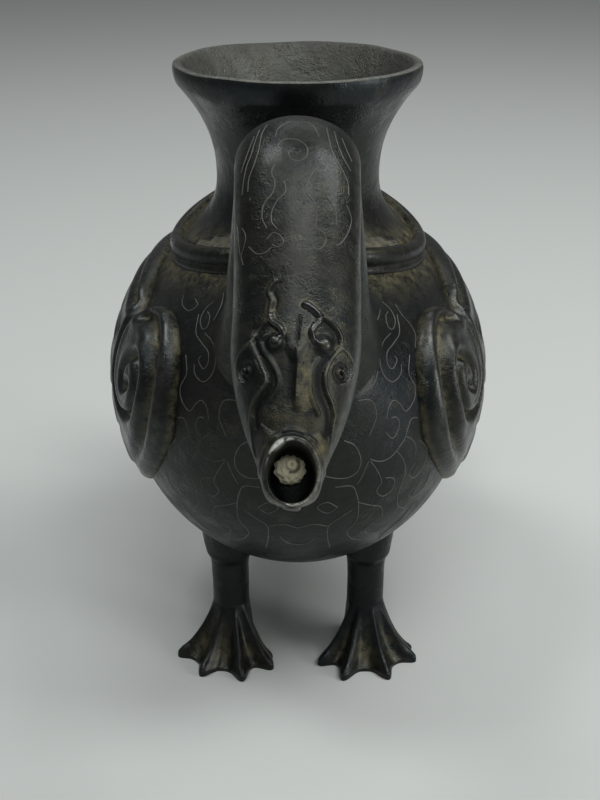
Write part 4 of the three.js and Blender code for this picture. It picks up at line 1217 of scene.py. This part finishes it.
def breast_line(rows, side):
    """A smooth line on the breast from (sideways, height)."""
    x, z = smooth_run(rows, 8).T
    half = BODY_HALF + WIRE_SUNK
    front = -half[1] * rest_of_egg(x / half[0], (z - BODY_MIDDLE) / half[2])
    points = np.c_[side * x, front, z]
    return points + shoulder(points)


inlay("breast_inlay", [breast_line(rows, side) for rows in BREAST for side in (1, -1)]
      + [breast_line(rows, 1) for rows in BREAST_ALONE], "breast")

# %% wires on the neck
NECK_WIRES = [
    # The spiral and the arches on top of the bend
    [(9.02, -3.9), (8.88, -2.3), (8.92, 0), (9.1, 1.7), (9.34, 1.7), (9.46, 0.2), (9.38, -1.3), (9.22, -1.5),
     (9.16, -0.4)],
    [(8.74, -4.1), (8.5, -3.7), (8.34, -2.7), (8.24, -1.3)],
    [(8.24, 1.1), (8.34, 2.7), (8.52, 3.5), (8.74, 4.1)],
    # Waves down the front and their curled ends
    [(9.46, -4.1), (9.64, -4.7), (9.88, -4.1), (10.1, -4.6), (10.28, -6.1), (10.52, -6.4), (10.74, -5.5)],
    [(9.86, -2.5), (10.08, -2.1), (10.26, -3.7), (10.44, -4.6), (10.64, -4.6), (10.78, -3.6)],
    [(9.52, 3.9), (9.84, 2.1), (10.1, 1.7), (10.28, 2.9), (10.48, 3.5), (10.76, 3.3)],
    [(9.76, 5.6), (10.02, 4.8), (10.22, 5.9), (10.4, 7), (10.64, 7.1)],
    [(10.92, 1.6), (10.8, 2.7), (10.8, 4.2), (10.92, 5.2), (11.08, 4.6), (11.14, 3.5), (11.08, 2.7)],
    [(10.94, -5.5), (10.84, -4.4), (10.9, -3.1), (11.02, -2.5), (11.1, -3.5), (11.04, -4.6)],
    # Plumes like strokes of hair on both sides
    [(8.06, -5.7), (8.48, -6.7), (8.92, -7.1), (9.28, -7.9), (9.58, -8.9), (9.88, -9.1)],
    [(8.18, -7.1), (8.6, -7.9), (8.98, -8.6), (9.22, -9.4), (9.52, -9.9), (9.86, -10.2)],
    [(8.36, -8.1), (8.7, -8.9), (8.98, -9.7), (9.26, -10.5)],
    [(8.28, 5.5), (8.78, 6), (9.14, 6.7), (9.4, 8.2), (9.64, 9.3), (9.92, 9.5)],
    [(8.3, 6.9), (8.76, 7.6), (9.08, 8.6), (9.28, 9.9)],
    [(8.4, 8.4), (8.72, 9.2), (8.96, 10.2)],
    # Clouds low on the sides
    [(10.58, -10.1), (10.78, -9.4), (10.96, -9.7), (11.12, -10.2), (11.28, -9.8)],
    [(11, -8.8), (11.16, -7.3), (11.16, -5.5), (11.08, -4.6)],
    [(10.48, -11), (10.8, -10.8), (11.08, -10.4)],
    [(10.18, 9), (10.4, 9.9), (10.68, 9.4), (10.92, 8.2), (11.02, 7.1)],
]
inlay("neck_inlay", [neck_point(*on_neck(rows, 8), WIRE_SUNK) for rows in NECK_WIRES], "neck")

# %% [markdown]
# ## Tail, rear prop and the small castings
# The tail is a short fan of feathers and the prop is a scroll that stands under the rear. Both are
# sheets again, wrapped round a line of sections and closed at the end. The belly plate and the core
# plugs keep the castings' own shapes, which are right, and take the patina.

# %% the tail
TAIL = smooth_run([(38, 84, 16, 9), (56, 88.5, 14.5, 6.6), (68, 93, 15, 4.4), (78, 98.5, 16.5, 2.6)], 20)
TAIL_CAP = 0.05
FEATHERS = 7.5
QUILL_DEPTH = 0.5
SCALLOP_DEPTH = 1.4


def tail_form(u, v):
    turn = u * 2 * math.pi
    y, z, half, thick = along_run(TAIL, np.clip(v / (1 - TAIL_CAP), 0, 1))
    closing = np.cos(ramp(v, 1 - TAIL_CAP, TAIL_CAP) * math.pi / 2)
    across = closing * np.cos(turn)
    quills = QUILL_DEPTH * np.abs(np.sin(across * FEATHERS)) * ramp(y, 58, 12) * (np.sin(turn) > 0)
    scallop = SCALLOP_DEPTH * np.abs(np.cos(across * FEATHERS)) * ramp(y, 70, 8)
    points = np.c_[half * across, y - scallop, z + (thick * np.sin(turn) - quills) * closing]
    return points, {"dirt": 0.4 * bell(above_body(points) - 1, 2.5)}


settle(formed_sheet("tail_feathers", 160, 110, tail_form), "bronze", "tail_fan")

# %% the rear prop
PROP = smooth_run([(38, 52), (45, 40), (47.5, 26), (44, 13.5), (45.5, 4.6), (52, 3.5), (57.3, 7.2),
                   (55.4, 12.4)], 16)
PROP_HALF = (5.1, 3.7)
PROP_CAP = 0.04
PROP_TAPER = 0.34


def prop_form(u, v):
    turn = u * 2 * math.pi
    along = np.clip(v / (1 - PROP_CAP), 0, 1)
    y, z = along_run(PROP, along)
    slope_y, slope_z = np.subtract(along_run(PROP, along + 0.01), along_run(PROP, along - 0.01))
    length = np.maximum(1e-6, np.hypot(slope_y, slope_z))
    closing = np.cos(ramp(v, 1 - PROP_CAP, PROP_CAP) * math.pi / 2)
    taper = (1 - PROP_TAPER * ramp(along, 0.72, 0.28)) * closing
    out = PROP_HALF[1] * taper * np.sin(turn)
    height = np.maximum(0.02, z + slope_y / length * out)
    return np.c_[PROP_HALF[0] * taper * np.cos(turn), y - slope_z / length * out, height], {}


settle(formed_sheet("rear_scroll", 64, 150, prop_form), "bronze", "rear_prop", angle=SHEET_ANGLE)

# %% the castings that keep their own shape
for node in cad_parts.values():
    wears(node, bronze)
print("all castings carry the patina")

# %% [markdown]
# ## Floor, light and camera
# The floor is a wide pale sheet. Soft daylight comes from two windows above, left and right, and from
# a skylight in front, so that the waxed neck and shoulders show a sheen. A low lamp on the right and a
# weak one behind draw the edges. The camera stands in front and above, looking down by 27.5 degrees.

# %% floor
deselect()
bpy.ops.mesh.primitive_plane_add(size=12, location=(0, 2.5, 0))
floor = added("pale_floor")
pale = bpy.data.materials.new("pale_floor")
pale.use_nodes = True
pale_shader = pale.node_tree.nodes["Principled BSDF"]
pale_shader.inputs["Base Color"].default_value = (0.56, 0.575, 0.56, 1)
pale_shader.inputs["Roughness"].default_value = 0.95
pale_shader.inputs["Specular IOR Level"].default_value = 0.1
wears(floor, pale)
print("floor", tuple(floor.dimensions.to_2d()), "m")

# %% lamps and world
LIT_POINT = Vector((0, 0, 0.08))
DAYLIGHT = (0.98, 1.0, 1.0)
COOL_DAYLIGHT = (0.97, 1.0, 1.0)
WORLD_GREY = (0.80, 0.82, 0.82)
WORLD_LEVEL = 0.22


def lamp(name, place, size, power, tint=(1, 1, 1)):
    """A soft square lamp that looks at the middle of the vessel."""
    deselect()
    bpy.ops.object.light_add(type="AREA", location=place)
    light = added(name)
    light.data.shape = "RECTANGLE"
    light.data.size, light.data.size_y = size
    light.data.energy = power
    light.data.color = tint
    light.rotation_euler = (LIT_POINT - Vector(place)).to_track_quat("-Z", "Y").to_euler()
    print("lamp", name, power, "W")


lamp("window_left", (-0.36, 0.02, 0.92), (0.2, 0.25), 2.2, COOL_DAYLIGHT)
lamp("window_right", (0.5, -0.05, 0.88), (0.25, 0.45), 3.6, DAYLIGHT)
lamp("skylight", (0.08, -0.42, 0.95), (0.5, 0.35), 3.0, DAYLIGHT)
lamp("side_right", (0.8, -0.35, 0.3), (0.3, 0.4), 2.3)
lamp("back_window", (0.05, 0.5, 0.8), (0.5, 0.3), 0.8, COOL_DAYLIGHT)
world = bpy.data.worlds.new("studio")
bpy.context.scene.world = world
world.use_nodes = True
background = world.node_tree.nodes["Background"]
background.inputs["Color"].default_value = (*WORLD_GREY, 1)
background.inputs["Strength"].default_value = WORLD_LEVEL

# %% camera
CAMERA_MM = (0.5, -261.6, 198.5)
CAMERA_DOWN = 27.5
FOCAL_PIXELS = 1100
FRAME_HEIGHT = 800
SENSOR = 36
deselect()
bpy.ops.object.camera_add(location=tuple(placed(CAMERA_MM)), rotation=(math.radians(90 - CAMERA_DOWN), 0, 0))
camera = bpy.context.object
camera.data.sensor_fit = "VERTICAL"
camera.data.sensor_height = SENSOR
camera.data.lens = FOCAL_PIXELS / FRAME_HEIGHT * SENSOR
camera.data.clip_start = 0.01
bpy.context.scene.camera = camera
print("camera at", tuple(round(c, 4) for c in camera.location))
